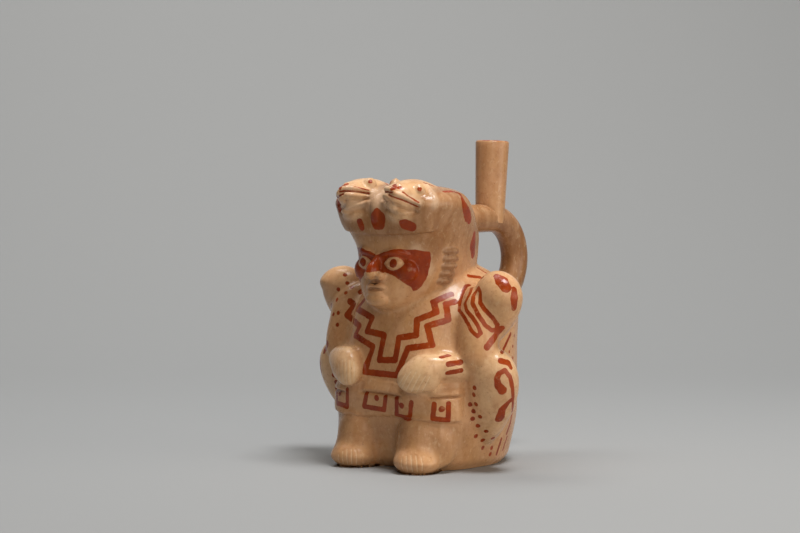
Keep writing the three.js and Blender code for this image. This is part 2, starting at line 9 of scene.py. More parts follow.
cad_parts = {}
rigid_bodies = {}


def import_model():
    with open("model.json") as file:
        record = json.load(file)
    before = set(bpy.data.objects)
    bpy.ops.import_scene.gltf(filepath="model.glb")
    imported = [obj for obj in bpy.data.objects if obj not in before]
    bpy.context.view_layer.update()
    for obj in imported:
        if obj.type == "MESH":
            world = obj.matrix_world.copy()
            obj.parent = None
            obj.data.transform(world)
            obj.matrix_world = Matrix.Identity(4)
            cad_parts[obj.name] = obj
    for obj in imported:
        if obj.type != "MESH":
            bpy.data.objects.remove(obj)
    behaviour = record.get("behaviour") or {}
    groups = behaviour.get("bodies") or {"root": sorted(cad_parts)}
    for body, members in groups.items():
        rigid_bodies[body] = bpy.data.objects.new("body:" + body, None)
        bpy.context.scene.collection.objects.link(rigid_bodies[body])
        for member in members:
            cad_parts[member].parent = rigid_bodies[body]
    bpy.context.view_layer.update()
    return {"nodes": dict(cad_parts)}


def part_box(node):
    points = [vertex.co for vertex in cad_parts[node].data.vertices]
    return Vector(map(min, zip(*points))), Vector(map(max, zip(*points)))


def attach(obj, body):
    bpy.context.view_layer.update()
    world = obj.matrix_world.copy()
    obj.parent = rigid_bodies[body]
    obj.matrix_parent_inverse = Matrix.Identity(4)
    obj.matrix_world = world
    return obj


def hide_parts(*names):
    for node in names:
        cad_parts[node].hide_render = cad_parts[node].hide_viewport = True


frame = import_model()

# Burnished clay bottle: a seated figure with a stirrup handle and a spout. Sizes are millimetres in the
# figure's own frame, which faces -Y with +X on its left and has the upright axis of the body at X = Y = 0.

# Hollow body and head
BODY_HEIGHT = 146
BODY_HALF_WIDTH = 59
BODY_FRONT = 60
BODY_BACK = 61
HEAD_HEIGHT = 88
HEAD_FOOT = 111
HEAD_FORWARD = 19
HEAD_HALF_WIDTH = 41
HEAD_FRONT = 45
HEAD_BACK = 46
HEAD_PARTING = -13.85
HEAD_TOP = HEAD_FOOT + HEAD_HEIGHT

# Stirrup and spout
STIRRUP_RADIUS = 10.2
STIRRUP_TOP = 173
STIRRUP_BEND = 30
STIRRUP_TURN = 142
STIRRUP_ROOT = 60
STIRRUP_SWELL = 0.25
SPOUT_SETBACK = 64
SPOUT_LENGTH = 57
SPOUT_FOOT_RADIUS = 10.7
SPOUT_RIM_RADIUS = 12.4
SPOUT_WALL = 3.2
SPOUT_LEAN = 3
SPOUT_TONGUE = 3
SPOUT_SINK = 0.5
SPOUT_FITTED = 16
SPOUT_SIDES = 72
# How much the spout is darkened evenly, as smoke and painted shade
SPOUT_SMOKE_AND_SHADE = 0.32
BORE_RADIUS = 7

# Bosses: half width, half depth, length, height, proud, lean, tilt, turn
SHOULDER_BOSS = (14, 18, 55, 114, 32, 18, 0, 12)
HAUNCH_BOSS = (15, 19, 74, 51, 21.5, 21, 14, 5)
BOSS_LIFT = 0.34
RIGHT_BOSS_SETTLE = 2.6
LEFT_BOSS_SETTLE = 1.4
RIGHT_BOSS_LEAN = 3.8
BOSS_FILL = 0.7
HAUNCH_FILL = 1.9
ARM_FILL = 1.5
FILL_PASSES = 60

# Limbs
UPPER_ARM_RADIUS = 13
UPPER_ARM_PROUD = 18
UPPER_ARM_TOP = 124
UPPER_ARM_TURN = 21
FOREARM_RADIUS = 8.8
PAW_HALF_WIDTH = 14
PAW_HALF_DEPTH = 10
PAW_HEIGHT = 70
PAW_TURN = 37
PAW_DROP = 13
LEFT_ARM_TURNS = (-14, -3, 10, 23, 32, 36)
RIGHT_ARM_TURNS = (-14, 0, 19, 33.5, 37, 38)
RIGHT_PAW_DROP = 9
RIGHT_PAW_FULLNESS = 1.1
LEFT_HIP = ((43, -46, 21), 11, 11, 18)
RIGHT_HIP = ((-41, -45, 22), 10, 10, 16)
FOOT_LENGTH = 32
FOOT_WIDTH = 30
FOOT_HEIGHT = 19
FOOT_TURN = 16
FOOT_REACH = 21.5
SHIN_RADIUS = 16.5
SHIN_HEIGHT = 36
SHIN_SINK = 9
BROAD_FOOT_SHIFT = (4.5, 1, -1)
BROAD_FOOT_SHARE = (0.95, 0.95, 0.93)

# Animal heads on the headdress
ANIMAL_LENGTH = 58
ANIMAL_HALF_WIDTH = 16
ANIMAL_HALF_HEIGHT = 13
ANIMAL_SPREAD = 21
ANIMAL_DROP = 6
ANIMAL_REACH = 10
ANIMAL_EYE_RADIUS = 4.4
ANIMAL_PUPIL = 1.4

# Hair locks
LOCK_RIDGES = 5
LOCK_HEIGHT = 26
LOCK_WIDTH = 14
LOCK_PROUD = 1.5
LOCK_TURN = 12

# Band round the waist
BAND_BOTTOM = 37
BAND_TOP = 53
BAND_STEP = 2.1
SHIRT_STEP = 1.2
HEM_DEPTH = 1.6

# Face on even thirds
FACE_THIRD = 18
FACE_RADIUS = 42
NOSE_BASE = HEAD_FOOT + 4 + FACE_THIRD
BROW = NOSE_BASE + FACE_THIRD
EYE = BROW - FACE_THIRD / 3
MOUTH = NOSE_BASE - FACE_THIRD / 3
EYE_APART = 13.4
EYE_HALF_WIDTH = 6.8

# Relief: depths and widths of the cut lines, the hood's ledge over the brow, the turned-under foot
FINGER_LINE = (0.22, 0.6)
LIP_LINE = (1.3, 0.9)
PHILTRUM = (0.5, 1.2)
NOSTRIL = (1.0, 1.1)
LEDGE = BROW + 15.5
LEDGE_STEP = 2
HOOD_EDGE = (0.55, 3.6)
HOOD_DISH = (1.2, 8.5)
UNEVENNESS = 0.22
UNDERCUT = 4
UNDERCUT_HEIGHT = 8

# Modelling steps
BLEND_VOXEL = 1.0
BLEND_PASSES = 46
DETAIL_VOXEL = 0.75
DETAIL_PASSES = 4
SOFT_PASSES = 160
CLAY_THICKNESS = 3
MOST_TRIANGLES = 190000
FAR = 50.0
STEP = 1e-3
LAY_STEP = 1.5
DROP_AWAY = 7

# From the shared frame to the figure's own: the front of the back half of the head lies on the parting
low_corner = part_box("head_back_shell")[0]
SHIFT = np.array([0, HEAD_PARTING - 1000 * low_corner[1], 0])

BODY_SECTIONS = [
    # up, wide, front, back, square, ahead
    (0, 0.82, 0.77, 0.84, 3.8, 0),
    (0.018, 0.86, 0.82, 0.88, 3.8, 0),
    (0.08, 0.9, 0.87, 0.92, 4.2, 0),
    (0.24, 0.985, 0.95, 0.98, 4.4, 0),
    (0.42, 1, 1, 0.97, 3.3, 0),
    (0.6, 0.99, 0.97, 0.99, 2.5, 0),
    (0.76, 0.95, 0.88, 1.05, 2.3, 0),
    (0.87, 0.81, 0.74, 0.9, 2, 0),
    (0.95, 0.57, 0.53, 0.61, 2, 0),
    (0.99, 0.3, 0.28, 0.32, 2, 0),
    (1, 0.06, 0.06, 0.06, 2, 0),
]
HEAD_SECTIONS = [
    (0, 0.08, 0.08, 0.08, 2, 0.5),
    (0.015, 0.3, 0.42, 0.4, 2, 0.46),
    (0.08, 0.58, 0.72, 0.72, 2, 0.32),
    (0.2, 0.82, 0.94, 0.95, 2.1, 0.1),
    (0.36, 0.92, 0.99, 1.02, 2.2, 0),
    (0.5, 0.97, 0.98, 1.04, 2.3, 0),
    (0.6, 1.01, 0.96, 1.05, 2.9, 0.03),
    (0.75, 1.13, 0.84, 1, 3.8, 0.2),
    (0.86, 1.19, 0.68, 0.98, 4, 0.37),
    (0.94, 1.08, 0.54, 0.85, 3.4, 0.42),
    (0.985, 0.76, 0.38, 0.58, 2.6, 0.42),
    (1, 0.2, 0.1, 0.15, 2, 0.42),
]


def spline(points, shares, centripetal=False):
    """Smooth line through the points, at shares of the way along."""
    points = np.asarray(points, float)
    last = len(points) - 1
    place = np.clip(np.atleast_1d(shares), 0, 1) * last
    low = np.minimum(place.astype(int), last - 1)
    part = (place - low)[:, None]
    ends = np.vstack([2 * points[0] - points[1], points, 2 * points[-1] - points[-2]])
    a, b, c, d = (ends[low + step] for step in range(4))
    if centripetal:
        first, mid, third = (np.maximum(((q - p) ** 2).sum(1), 1e-8)[:, None] ** 0.25
                             for p, q in ((a, b), (b, c), (c, d)))
        start = ((b - a) / first - (c - a) / (first + mid) + (c - b) / mid) * mid
        end = ((c - b) / mid - (d - b) / (mid + third) + (d - c) / third) * mid
    else:
        start = (c - a) / 2
        end = (d - b) / 2
    square = -3 * b + 3 * c - 2 * start - end
    cube = 2 * b - 2 * c + start + end
    return b + start * part + square * part ** 2 + cube * part ** 3


def unit(rows):
    return rows / np.maximum(np.linalg.norm(rows, axis=-1, keepdims=True), 1e-9)


def signed_power(value, exponent):
    return np.sign(value) * np.abs(value) ** exponent


def smooth_step(low, high, value):
    share = np.clip((value - low) / (high - low), 0, 1)
    return share * share * (3 - 2 * share)


class SectionForm:
    """A closed form on level sections; turn 0 is the figure's left side and -90 its front."""

    def __init__(self, sections, foot, height, forward, half_width, front, back):
        table = np.array(sections, float)
        self.spread = table[:, 1:4]
        self.place = table[:, [0, 4, 5]]
        self.foot, self.height, self.forward = foot, height, forward
        self.half_width, self.front, self.back = half_width, front, back
        self.shares = np.linspace(0, 1, 2001)
        self.heights = np.maximum.accumulate(self.level(self.shares))

    def level(self, shares):
        return self.foot + np.clip(spline(self.place, shares)[:, 0], 0, 1) * self.height

    def sizes(self, shares):
        wide, front, back = spline(self.spread, shares).T
        _, square, ahead = spline(self.place, shares).T
        middle = -self.forward - ahead * self.front
        return wide * self.half_width, front * self.front, back * self.back, square, middle

    def points(self, turns, shares):
        turns, shares = np.broadcast_arrays(np.atleast_1d(turns).astype(float), np.atleast_1d(shares))
        wide, front, back, square, middle = self.sizes(shares)
        sine, cosine = np.sin(np.radians(turns)), np.cos(np.radians(turns))
        ease = np.where(sine < 0, 2 / square, 1)
        along = signed_power(sine, ease)
        across = signed_power(cosine, ease)
        reach = np.where(along < 0, front, back)
        return np.stack([across * wide, middle + along * reach, self.level(shares)], 1)

    def share_at(self, z):
        return np.interp(z, self.heights, self.shares)

    def surface(self, turns, z, out=0):
        turns, z, out = np.broadcast_arrays(*(np.atleast_1d(v).astype(float) for v in (turns, z, out)))
        shares = self.share_at(z)
        across = self.points(turns + 1, shares) - self.points(turns - 1, shares)
        up = self.points(turns, shares + 0.01) - self.points(turns, shares - 0.01)
        return self.points(turns, shares) + unit(np.cross(across, up)) * out[:, None]

    def turn_of(self, places):
        wide, front, back, square, middle = self.sizes(self.share_at(places[:, 2]))
        ahead = places[:, 1] < middle
        ease = np.where(ahead, square / 2, 1)
        along = signed_power((places[:, 1] - middle) / np.where(ahead, front, back), ease)
        across = signed_power(places[:, 0] / wide, ease)
        return np.degrees(np.arctan2(along, across))

    def proud(self, places):
        """How far each place stands out from the section at its height."""
        shares = self.share_at(places[:, 2])
        middle = self.sizes(shares)[4]
        skin = self.points(self.turn_of(places), shares)
        axis = np.stack([np.zeros(len(places)), middle, places[:, 2]], 1)
        return np.linalg.norm(places - axis, axis=1) - np.linalg.norm(skin - axis, axis=1)

    def shape(self, angles, shares, poles):
        places = self.points(np.degrees(angles), shares)
        places[poles, 0] = 0
        places[poles, 1] = self.sizes(shares[poles])[4]
        return places


class Limb:
    """A closed limb along a smooth line, with oval sections of half width and half height."""

    def __init__(self, points, sizes, upright=(0, 0, 1)):
        self.line = np.array([np.ravel(p) for p in points], float)
        self.sizes = np.array(sizes, float)
        self.upright = np.ravel(upright).astype(float)

    def shape(self, angles, shares, poles):
        ahead = unit(spline(self.line, shares + STEP, True) - spline(self.line, shares - STEP, True))
        across = unit(np.cross(self.upright, ahead))
        over = np.cross(ahead, across)
        wide, high = spline(self.sizes, shares, True).T
        middle = spline(self.line, shares, True)
        wide, high = wide * np.cos(angles), high * np.sin(angles)
        return np.where(poles[:, None], middle, middle + across * wide[:, None] + over * high[:, None])


class Stirrup:
    """Round tube along the stirrup's middle line, from inside the head to inside the back."""

    def __init__(self, radius):
        self.radius = radius
        self.bend = STIRRUP_BEND * math.radians(STIRRUP_TURN)

    def middle(self, along):
        turn = np.clip(along, 0, self.bend) / STIRRUP_BEND
        straight = along - turn * STIRRUP_BEND
        y = SPOUT_SETBACK + STIRRUP_BEND * np.sin(turn) + straight * np.cos(turn)
        z = STIRRUP_TOP - STIRRUP_BEND * (1 - np.cos(turn)) - straight * np.sin(turn)
        return np.stack([0 * y, y, z], 1)

    def shape(self, angles, shares, poles):
        along = -SPOUT_SETBACK + shares * (SPOUT_SETBACK + self.bend + STIRRUP_ROOT)
        ahead = unit(self.middle(along + 0.1) - self.middle(along - 0.1))
        across = np.array([[1.0, 0, 0]])
        over = np.cross(ahead, across)
        spread = across * np.cos(angles)[:, None] + over * np.sin(angles)[:, None]
        middle = self.middle(along)
        return np.where(poles[:, None], middle, middle + self.radius * spread)


class Egg:
    """An egg standing on Z with its bulk high up, then leaned, tilted, turned and put in place."""

    def __init__(self, half_width, half_depth, length, height, proud, lean, tilt, turn):
        seat = body.surface(-turn, height, proud - half_depth)[0]
        self.size = (half_depth, half_width, length)
        self.turned = (Matrix.Rotation(math.radians(-turn), 3, 'Z')
                       @ Matrix.Rotation(math.radians(tilt), 3, 'X')
                       @ Matrix.Rotation(math.radians(lean), 3, 'Y'))
        self.middle = np.array([seat[0], seat[1], height])

    def shape(self, angles, shares, poles):
        depth, width, length = self.size
        down = np.cos(shares * np.pi)
        across = np.sin(shares * np.pi) * (1 - BOSS_LIFT * down)
        places = np.stack([depth * across * np.cos(angles), width * across * np.sin(angles),
                           -down * length / 2], 1)
        return places @ np.array(self.turned).T + self.middle


class Ball:
    """An ellipsoid."""

    def __init__(self, middle, half_x, half_y, half_z):
        self.middle = np.ravel(middle)
        self.half = np.array([half_x, half_y, half_z], float)

    def shape(self, angles, shares, poles):
        level, ring = -np.cos(shares * np.pi), np.sin(shares * np.pi)
        round_places = np.stack([ring * np.cos(angles), ring * np.sin(angles), level], 1)
        return self.middle + self.half * round_places


def deselect():
    bpy.ops.object.select_all(action='DESELECT')


def only(piece):
    deselect()
    piece.select_set(True)
    bpy.context.view_layer.objects.active = piece


def editing(on):
    bpy.ops.object.mode_set(mode='EDIT' if on else 'OBJECT')


def own_places(mesh):
    flat = np.empty(3 * len(mesh.vertices), np.float32)
    mesh.vertices.foreach_get('co', flat)
    return flat.reshape(-1, 3).astype(float)


def read(mesh):
    return own_places(mesh) * 1000 + SHIFT


def write(mesh, places):
    mesh.vertices.foreach_set('co', ((places - SHIFT) / 1000).astype(np.float32).ravel())
    mesh.update()


def keep(mesh, name, values):
    mesh.attributes.new(name, 'FLOAT', 'POINT').data.foreach_set('value', values.astype(np.float32))


def read_normals(mesh):
    flat = np.empty(3 * len(mesh.vertices), np.float32)
    mesh.vertex_normals.foreach_get('vector', flat)
    return flat.reshape(-1, 3).astype(float)


def modify(piece, kind, **settings):
    only(piece)
    bpy.ops.object.modifier_add(type=kind)
    modifier = piece.modifiers[-1]
    for name, value in settings.items():
        setattr(modifier, name, value)
    bpy.ops.object.modifier_apply(modifier=modifier.name)


def shaped(form, segments, rings, mirrored=False):
    """A ball whose points are moved onto a form; closed flat at both ends of a limb."""
    deselect()
    bpy.ops.mesh.primitive_uv_sphere_add(segments=segments, ring_count=rings, radius=1, location=(0, 0, 0))
    piece = bpy.context.object
    ball = own_places(piece.data)
    angles = np.arctan2(ball[:, 1], ball[:, 0])
    shares = np.arccos(np.clip(-ball[:, 2], -1, 1)) / np.pi
    poles = (shares < STEP) | (shares > 1 - STEP)
    if not isinstance(form, (Egg, Ball)):
        shares = np.clip((shares * rings - 1) / (rings - 2), 0, 1)
    write(piece.data, form.shape(angles, shares, poles))
    if mirrored:
        modify(piece, 'MIRROR', use_axis=(True, False, False), use_mirror_merge=False)
    return piece


def joined(name, pieces):
    deselect()
    for piece in pieces:
        piece.select_set(True)
    bpy.context.view_layer.objects.active = pieces[0]
    bpy.ops.object.join()
    whole = bpy.context.object
    whole.name = name
    return whole


# Main forms
body = SectionForm(BODY_SECTIONS, 0, BODY_HEIGHT, 0, BODY_HALF_WIDTH, BODY_FRONT, BODY_BACK)
head = SectionForm(HEAD_SECTIONS, HEAD_FOOT, HEAD_HEIGHT, HEAD_FORWARD, HEAD_HALF_WIDTH,
                   HEAD_FRONT, HEAD_BACK)
stirrup = Stirrup(STIRRUP_RADIUS + STIRRUP_SWELL)


def upper_arm():
    out = UPPER_ARM_PROUD - UPPER_ARM_RADIUS
    drop = UPPER_ARM_TOP - PAW_HEIGHT

    def over(turn, share, proud):
        return body.surface(-UPPER_ARM_TURN - turn, UPPER_ARM_TOP - share * drop, proud)[0]
    line = [over(-8, 0, -out), over(-3, 0.22, out), over(0, 0.5, out), over(0, 0.8, out), over(-2, 1, -out)]
    sizes = [(UPPER_ARM_RADIUS * share, UPPER_ARM_RADIUS * share) for share in (0.6, 1, 1.06, 1, 0.7)]
    return Limb(line, sizes, over(0, 0.5, 1) - over(0, 0.5, 0))


def forearm(turns, drop):
    def over(turn, rise, out):
        return body.surface(-PAW_TURN - turn, PAW_HEIGHT + rise, out * FOREARM_RADIUS)[0]
    lift = FOREARM_RADIUS / 2
    rises = (0, lift / 2, lift, 0, -drop / 2, -drop)
    line = [over(*stop) for stop in zip(turns, rises, (-1.14, -0.11, 0.34, 0.45, 0.34, 0))]
    sizes = [(FOREARM_RADIUS * 0.6, FOREARM_RADIUS * 0.6), (FOREARM_RADIUS, FOREARM_RADIUS),
             (FOREARM_RADIUS, FOREARM_RADIUS), (PAW_HALF_WIDTH, PAW_HALF_DEPTH),
             (PAW_HALF_WIDTH, PAW_HALF_DEPTH), (PAW_HALF_WIDTH * 0.5, PAW_HALF_DEPTH * 0.5)]
    return Limb(line, sizes, over(12, 0, 1) - over(12, 0, 0))


def foot_forms():
    ankle = body.surface(-90 + FOOT_TURN, FOOT_HEIGHT, -SHIN_SINK)[0]

    def at(ahead, aside, z):
        return np.array([ankle[0] + aside * SHIN_RADIUS, ankle[1] - ahead * SHIN_RADIUS, z])
    middle = np.array([ankle[0], ankle[1] - FOOT_REACH + FOOT_LENGTH / 4, FOOT_HEIGHT * 0.42])
    sole_form = Ball(middle, FOOT_WIDTH / 2, FOOT_LENGTH / 2, FOOT_HEIGHT * 0.58)
    line = [at(0.46, -0.1, -SHIN_RADIUS * 0.29), at(0.46, -0.1, SHIN_HEIGHT * 0.35),
            at(0.33, -0.1, SHIN_HEIGHT * 0.8), at(0, -0.1, SHIN_HEIGHT)]
    shares = [(0.95, 0.87), (1, 0.92), (1, 0.85), (0.85, 0.44)]
    return sole_form, Limb(line, [(SHIN_RADIUS * w, SHIN_RADIUS * d) for w, d in shares], (0, -1, 0))


animal_tip = np.array([ANIMAL_SPREAD * 0.95,
                       head.surface(-90, HEAD_TOP - ANIMAL_HALF_HEIGHT)[0, 1] - ANIMAL_REACH,
                       HEAD_TOP - ANIMAL_DROP])


def on_animal(back, drop, aside=0):
    return np.array([ANIMAL_SPREAD + aside * ANIMAL_HALF_WIDTH, animal_tip[1] + back * ANIMAL_LENGTH,
                     animal_tip[2] - drop * ANIMAL_HALF_HEIGHT])


skull = Limb([on_animal(1, 0.7), on_animal(0.5, 0.19), on_animal(0.17, 0.08), animal_tip],
             [(ANIMAL_HALF_WIDTH * share, ANIMAL_HALF_HEIGHT * share) for share in (0.8, 1, 0.77, 0.36)])
throat = Ball(on_animal(0.29, 0.96), ANIMAL_HALF_WIDTH * 0.8, ANIMAL_LENGTH * 0.2, ANIMAL_HALF_HEIGHT * 0.5)
arm, wrist = upper_arm(), forearm(LEFT_ARM_TURNS, PAW_DROP)
hanging = forearm(RIGHT_ARM_TURNS, RIGHT_PAW_DROP)
right_wrist = Limb(hanging.line * (-1, 1, 1), hanging.sizes * RIGHT_PAW_FULLNESS,
                   hanging.upright * (-1, 1, 1))
sole, shin = foot_forms()
broad_feet = [Ball(sole.middle * (side, 1, 1) + BROAD_FOOT_SHIFT, *(sole.half * BROAD_FOOT_SHARE))
              for side in (1, -1)]

skin = joined("clay_skin", [
    shaped(body, 128, 96),
    shaped(head, 128, 96),
    shaped(stirrup, 48, 160),
    shaped(Egg(*SHOULDER_BOSS), 48, 40, True),
    shaped(Egg(*HAUNCH_BOSS), 48, 40, True),
    shaped(arm, 40, 40, True),
    shaped(wrist, 40, 48),
    shaped(right_wrist, 40, 48),
    shaped(sole, 48, 32, True),
    *(shaped(ball, 48, 32) for ball in broad_feet),
    shaped(shin, 40, 32, True),
    *(shaped(Ball(*hip), 32, 24) for hip in (LEFT_HIP, RIGHT_HIP)),
    shaped(skull, 48, 48, True),
    shaped(throat, 32, 24, True),
])
modify(skin, 'REMESH', mode='VOXEL', voxel_size=BLEND_VOXEL / 1000)
modify(skin, 'SMOOTH', factor=0.5, iterations=BLEND_PASSES)


def soften(piece, weights, passes):
    """Smooths a piece more where a weight from 0 to 1 asks for it."""
    group = piece.vertex_groups.new(name="soft")
    for level in (0.25, 0.5, 0.75, 1):
        pick = np.where((weights > level - 0.125) & (weights <= level + 0.125))[0]
        if len(pick):
            group.add(pick.tolist(), level, 'REPLACE')
    modify(piece, 'SMOOTH', factor=0.5, iterations=passes, vertex_group=group.name)
    piece.vertex_groups.clear()


# The outer side of the legs and the inner side of the arms run softly into the body
places = read(skin.data)
x, y, z = places.T
outer_leg = smooth_step(27, 35, np.abs(x)) * smooth_step(42, 36, z) * smooth_step(-4, -12, y)
outer_leg *= smooth_step(6, 14, z)
turn = np.abs(body.turn_of(places) + 90)
inner_arm = smooth_step(36, 44, turn) * smooth_step(78, 70, turn) * smooth_step(78, 86, z)
inner_arm *= smooth_step(122, 112, z) * (y < -5)
soften(skin, np.clip(outer_leg + inner_arm, 0, 1), SOFT_PASSES)


# Finer forms: the face on plain thirds, the animals' eyes and nostrils, the locks
def on_face(aside, z, out=0):
    return head.surface(-90 + np.degrees(np.asarray(aside, float) / FACE_RADIUS), z, out)


def face_limb(stops):
    """A ridge on the face through stops of aside, height, out and radius."""
    table = np.array(stops, float)
    return Limb(on_face(table[:, 0], table[:, 1], table[:, 2]), [(r, r) for r in table[:, 3]], (0, 0.3, 1))


def lid(rise, radius):
    return face_limb([(EYE_APART + EYE_HALF_WIDTH * 1.12 * t, EYE + rise * (1 - t * t),
                       1.1 - 1.1 * t * t, radius - 0.3 * t * t) for t in (-1, -0.5, 0, 0.5, 1)])


nose_bridge = Limb(
    np.vstack([on_face(0, z, out) for z, out in
               ((BROW, -1.2), (EYE, 1.6), (NOSE_BASE + 6, 5.2), (NOSE_BASE + 1.5, 2))]),
    [(2.6, 2.4), (3.6, 4.2), (4.6, 5), (3.8, 3.2)])
nose_tip = Ball(on_face(0, NOSE_BASE + 4, 5), 4.9, 5.6, 4.5)
nose_wing = Ball(on_face(5, NOSE_BASE + 3.2, 2), 3.5, 4.6, 3.5)
brow = face_limb([(2.5, BROW - 0.5, -0.6, 2.2), (EYE_APART, BROW + 2.2, 0, 2.9), (26, BROW - 0.5, -1.2, 2)])
eyeball = Ball(on_face(EYE_APART, EYE, -0.9), EYE_HALF_WIDTH * 0.92, 3.2, 3.9)
upper_lip = face_limb([(-11.5, MOUTH, -0.4, 0.9), (-4.5, MOUTH + 1.9, 0.9, 2), (0, MOUTH + 1.5, 1.1, 1.8),
                       (4.5, MOUTH + 1.9, 0.9, 2), (11.5, MOUTH, -0.4, 0.9)])
lower_lip = face_limb([(-10.5, MOUTH - 0.5, -0.5, 0.9), (-4, MOUTH - 2.8, 0.7, 2.3),
                       (4, MOUTH - 2.8, 0.7, 2.3), (10.5, MOUTH - 0.5, -0.5, 0.9)])
chin = Ball(on_face(0, NOSE_BASE - FACE_THIRD + 4.5, -2.6), 10, 6, 5.5)
cheek = Ball(on_face(22, NOSE_BASE + 7, -5.2), 11, 7.5, 9.5)

lock_pitch = LOCK_HEIGHT / LOCK_RIDGES
lock_middle = (BROW + NOSE_BASE) / 2 + lock_pitch * 0.15
lock_turn = math.degrees(LOCK_WIDTH / HEAD_FRONT) / 2


def lock_ridge(ridge):
    z = lock_middle + (ridge - (LOCK_RIDGES - 1) / 2) * lock_pitch
    turns = [-LOCK_TURN - lock_turn, -LOCK_TURN, -LOCK_TURN + lock_turn]
    line = head.surface(turns, z, -LOCK_PROUD / 3)
    return Limb(line, [(LOCK_PROUD * 0.7, lock_pitch * 0.3), (LOCK_PROUD * 1.6, lock_pitch * 0.44),
                       (LOCK_PROUD * 0.7, lock_pitch * 0.3)])


animal_eyes = [on_animal(0.32, -0.2, 0.72), on_animal(0.32, -0.48, -0.58)]


def eye_way(eye):
    """The way an animal's eye looks: the outer one aside and ahead, the inner one more upwards."""
    outer = eye[0] > ANIMAL_SPREAD
    return unit(np.array([0.7, -0.62, 0.32]) if outer else np.array([-0.6, -0.6, 0.6]))


def eye_ring(eye):
    outward = eye_way(eye)
    first = unit(np.cross(outward, (0, 1, 0)))
    second = np.cross(outward, first)
    turns = np.linspace(0, 2 * np.pi, 13)[:, None]
    middle = eye + outward * 2.3
    line = middle + (ANIMAL_EYE_RADIUS - 0.7) * (first * np.cos(turns) + second * np.sin(turns))
    return Limb(line, [(0.8, 0.8)] * 13, outward)


crest = Limb(head.surface([-90] * 4, HEAD_TOP - np.array([5, 12, 20, 27]), [-3, -2.2, -2.4, -4.2]),
             [(3.4, 3.4), (4.2, 4.2), (4.2, 4.2), (3.4, 3.4)], (0, -1, 0))
details = [shaped(form, 24, 20) for form in (nose_bridge, nose_tip, upper_lip, lower_lip, chin)]
details += [shaped(form, 24, 20, True)
            for form in (nose_wing, brow, eyeball, lid(4, 1.1), lid(-3.2, 0.95), cheek)]
details += [shaped(Ball(eye, *(ANIMAL_EYE_RADIUS,) * 3), 24, 18, True) for eye in animal_eyes]
details += [shaped(eye_ring(eye), 12, 40, True) for eye in animal_eyes]
details.append(shaped(crest, 24, 20))
details += [shaped(Ball(animal_tip + (aside * 3.4, 5, 4.2), 1.9, 2.4, 1.7), 16, 12, True)
            for aside in (1, -1)]
details += [shaped(lock_ridge(ridge), 20, 16, True) for ridge in range(LOCK_RIDGES)]
skin = joined("clay_skin", [skin] + details)
modify(skin, 'REMESH', mode='VOXEL', voxel_size=DETAIL_VOXEL / 1000)
modify(skin, 'SMOOTH', factor=0.5, iterations=DETAIL_PASSES)


# Lines laid on the clay: tapering strokes for carving and for slip painting
def line_distance(places, line, radii, reach=4):
    """Distance of each place from a line of tapering radius, negative inside it."""
    line = np.asarray(line, float)
    radii = np.broadcast_to(np.asarray(radii, float), len(line))
    reach = radii.max() + reach
    near = np.full(len(places), FAR)
    pick = np.where(((places > line.min(0) - reach) & (places < line.max(0) + reach)).all(1))[0]
    if len(pick) == 0:
        return near
    close = places[pick]
    best = np.full(len(pick), FAR)
    for a, b, start, end in zip(line[:-1], line[1:], radii[:-1], radii[1:]):
        way = b - a
        share = np.clip((close - a) @ way / max(way @ way, 1e-9), 0, 1)
        gap = np.linalg.norm(close - a - share[:, None] * way, axis=1) - (start + (end - start) * share)
        best = np.minimum(best, gap)
    near[pick] = best
    return near


def both_sides(lines):
    return lines + [line * (-1, 1, 1) for line in lines]


places = read(skin.data)
places[:, 2] = np.maximum(places[:, 2], 0)
x, y, z = places.T
write(skin.data, places)
normals = read_normals(skin.data)

# Which solid each point and face of the skin belongs to
names = sorted(name for name in frame["nodes"] if name != "spout")
solid_points, solid_faces, solid_owner = [], [], []
for index, name in enumerate(names):
    mesh = bpy.data.objects[name].data
    first = sum(len(rows) for rows in solid_points)
    solid_points.append(read(mesh))
    for face in mesh.polygons:
        solid_faces.append([first + corner for corner in face.vertices])
        solid_owner.append(index)
solid_tree = BVHTree.FromPolygons([tuple(p) for p in np.vstack(solid_points)], solid_faces)
owner = np.array([solid_owner[solid_tree.find_nearest(p)[2]] for p in places])


def belongs(*parts):
    return np.isin(owner, [i for i, name in enumerate(names) if any(part in name for part in parts)])


# Strokes for relief and for slip are laid as seen from the camera, in millimetres to the right of the
# body's axis and up on the upright plane through that axis; they are cast from the eye onto the clay.
CAMERA_TURN = math.radians(40)
CAMERA_DISTANCE = 1672
CAMERA_HEIGHT = 232
CAMERA_ASIDE = -25.1
CAMERA_PITCH = math.radians(3.153)
side_way = np.array([math.cos(CAMERA_TURN), math.sin(CAMERA_TURN), 0])
back_way = np.array([math.sin(CAMERA_TURN), -math.cos(CAMERA_TURN), 0])
eye_point = back_way * CAMERA_DISTANCE + side_way * CAMERA_ASIDE + np.array([0, 0, CAMERA_HEIGHT])


def tree_of(mesh):
    return BVHTree.FromPolygons([tuple(p) for p in read(mesh)],
                                [tuple(face.vertices) for face in mesh.polygons])


skin_tree = tree_of(skin.data)


def laid(stops):
    """Lines on the clay under a stroke of (right, up) or (right, up, half width) stops.

    A new line starts where the clay drops away.
    """
    stops = [np.array((*stop, 0)[:3], float) for stop in stops]
    dense = [stops[0]]
    for a, b in zip(stops[:-1], stops[1:]):
        count = max(1, int(np.linalg.norm((b - a)[:2]) / LAY_STEP))
        dense += [a + (b - a) * (step + 1) / count for step in range(count)]
    lines, last = [[]], None
    for stop in dense:
        aim = side_way * stop[0] + np.array([0, 0, stop[1]]) - eye_point
        hit = skin_tree.ray_cast(Vector(eye_point), Vector(aim).normalized())[0]
        if hit is None:
            continue
        point = np.array(hit)
        if last is not None and np.linalg.norm(point - last) > DROP_AWAY:
            lines.append([])
        lines[-1].append(np.append(point, stop[2]))
        last = point
    return [np.array(line) for line in lines if line]


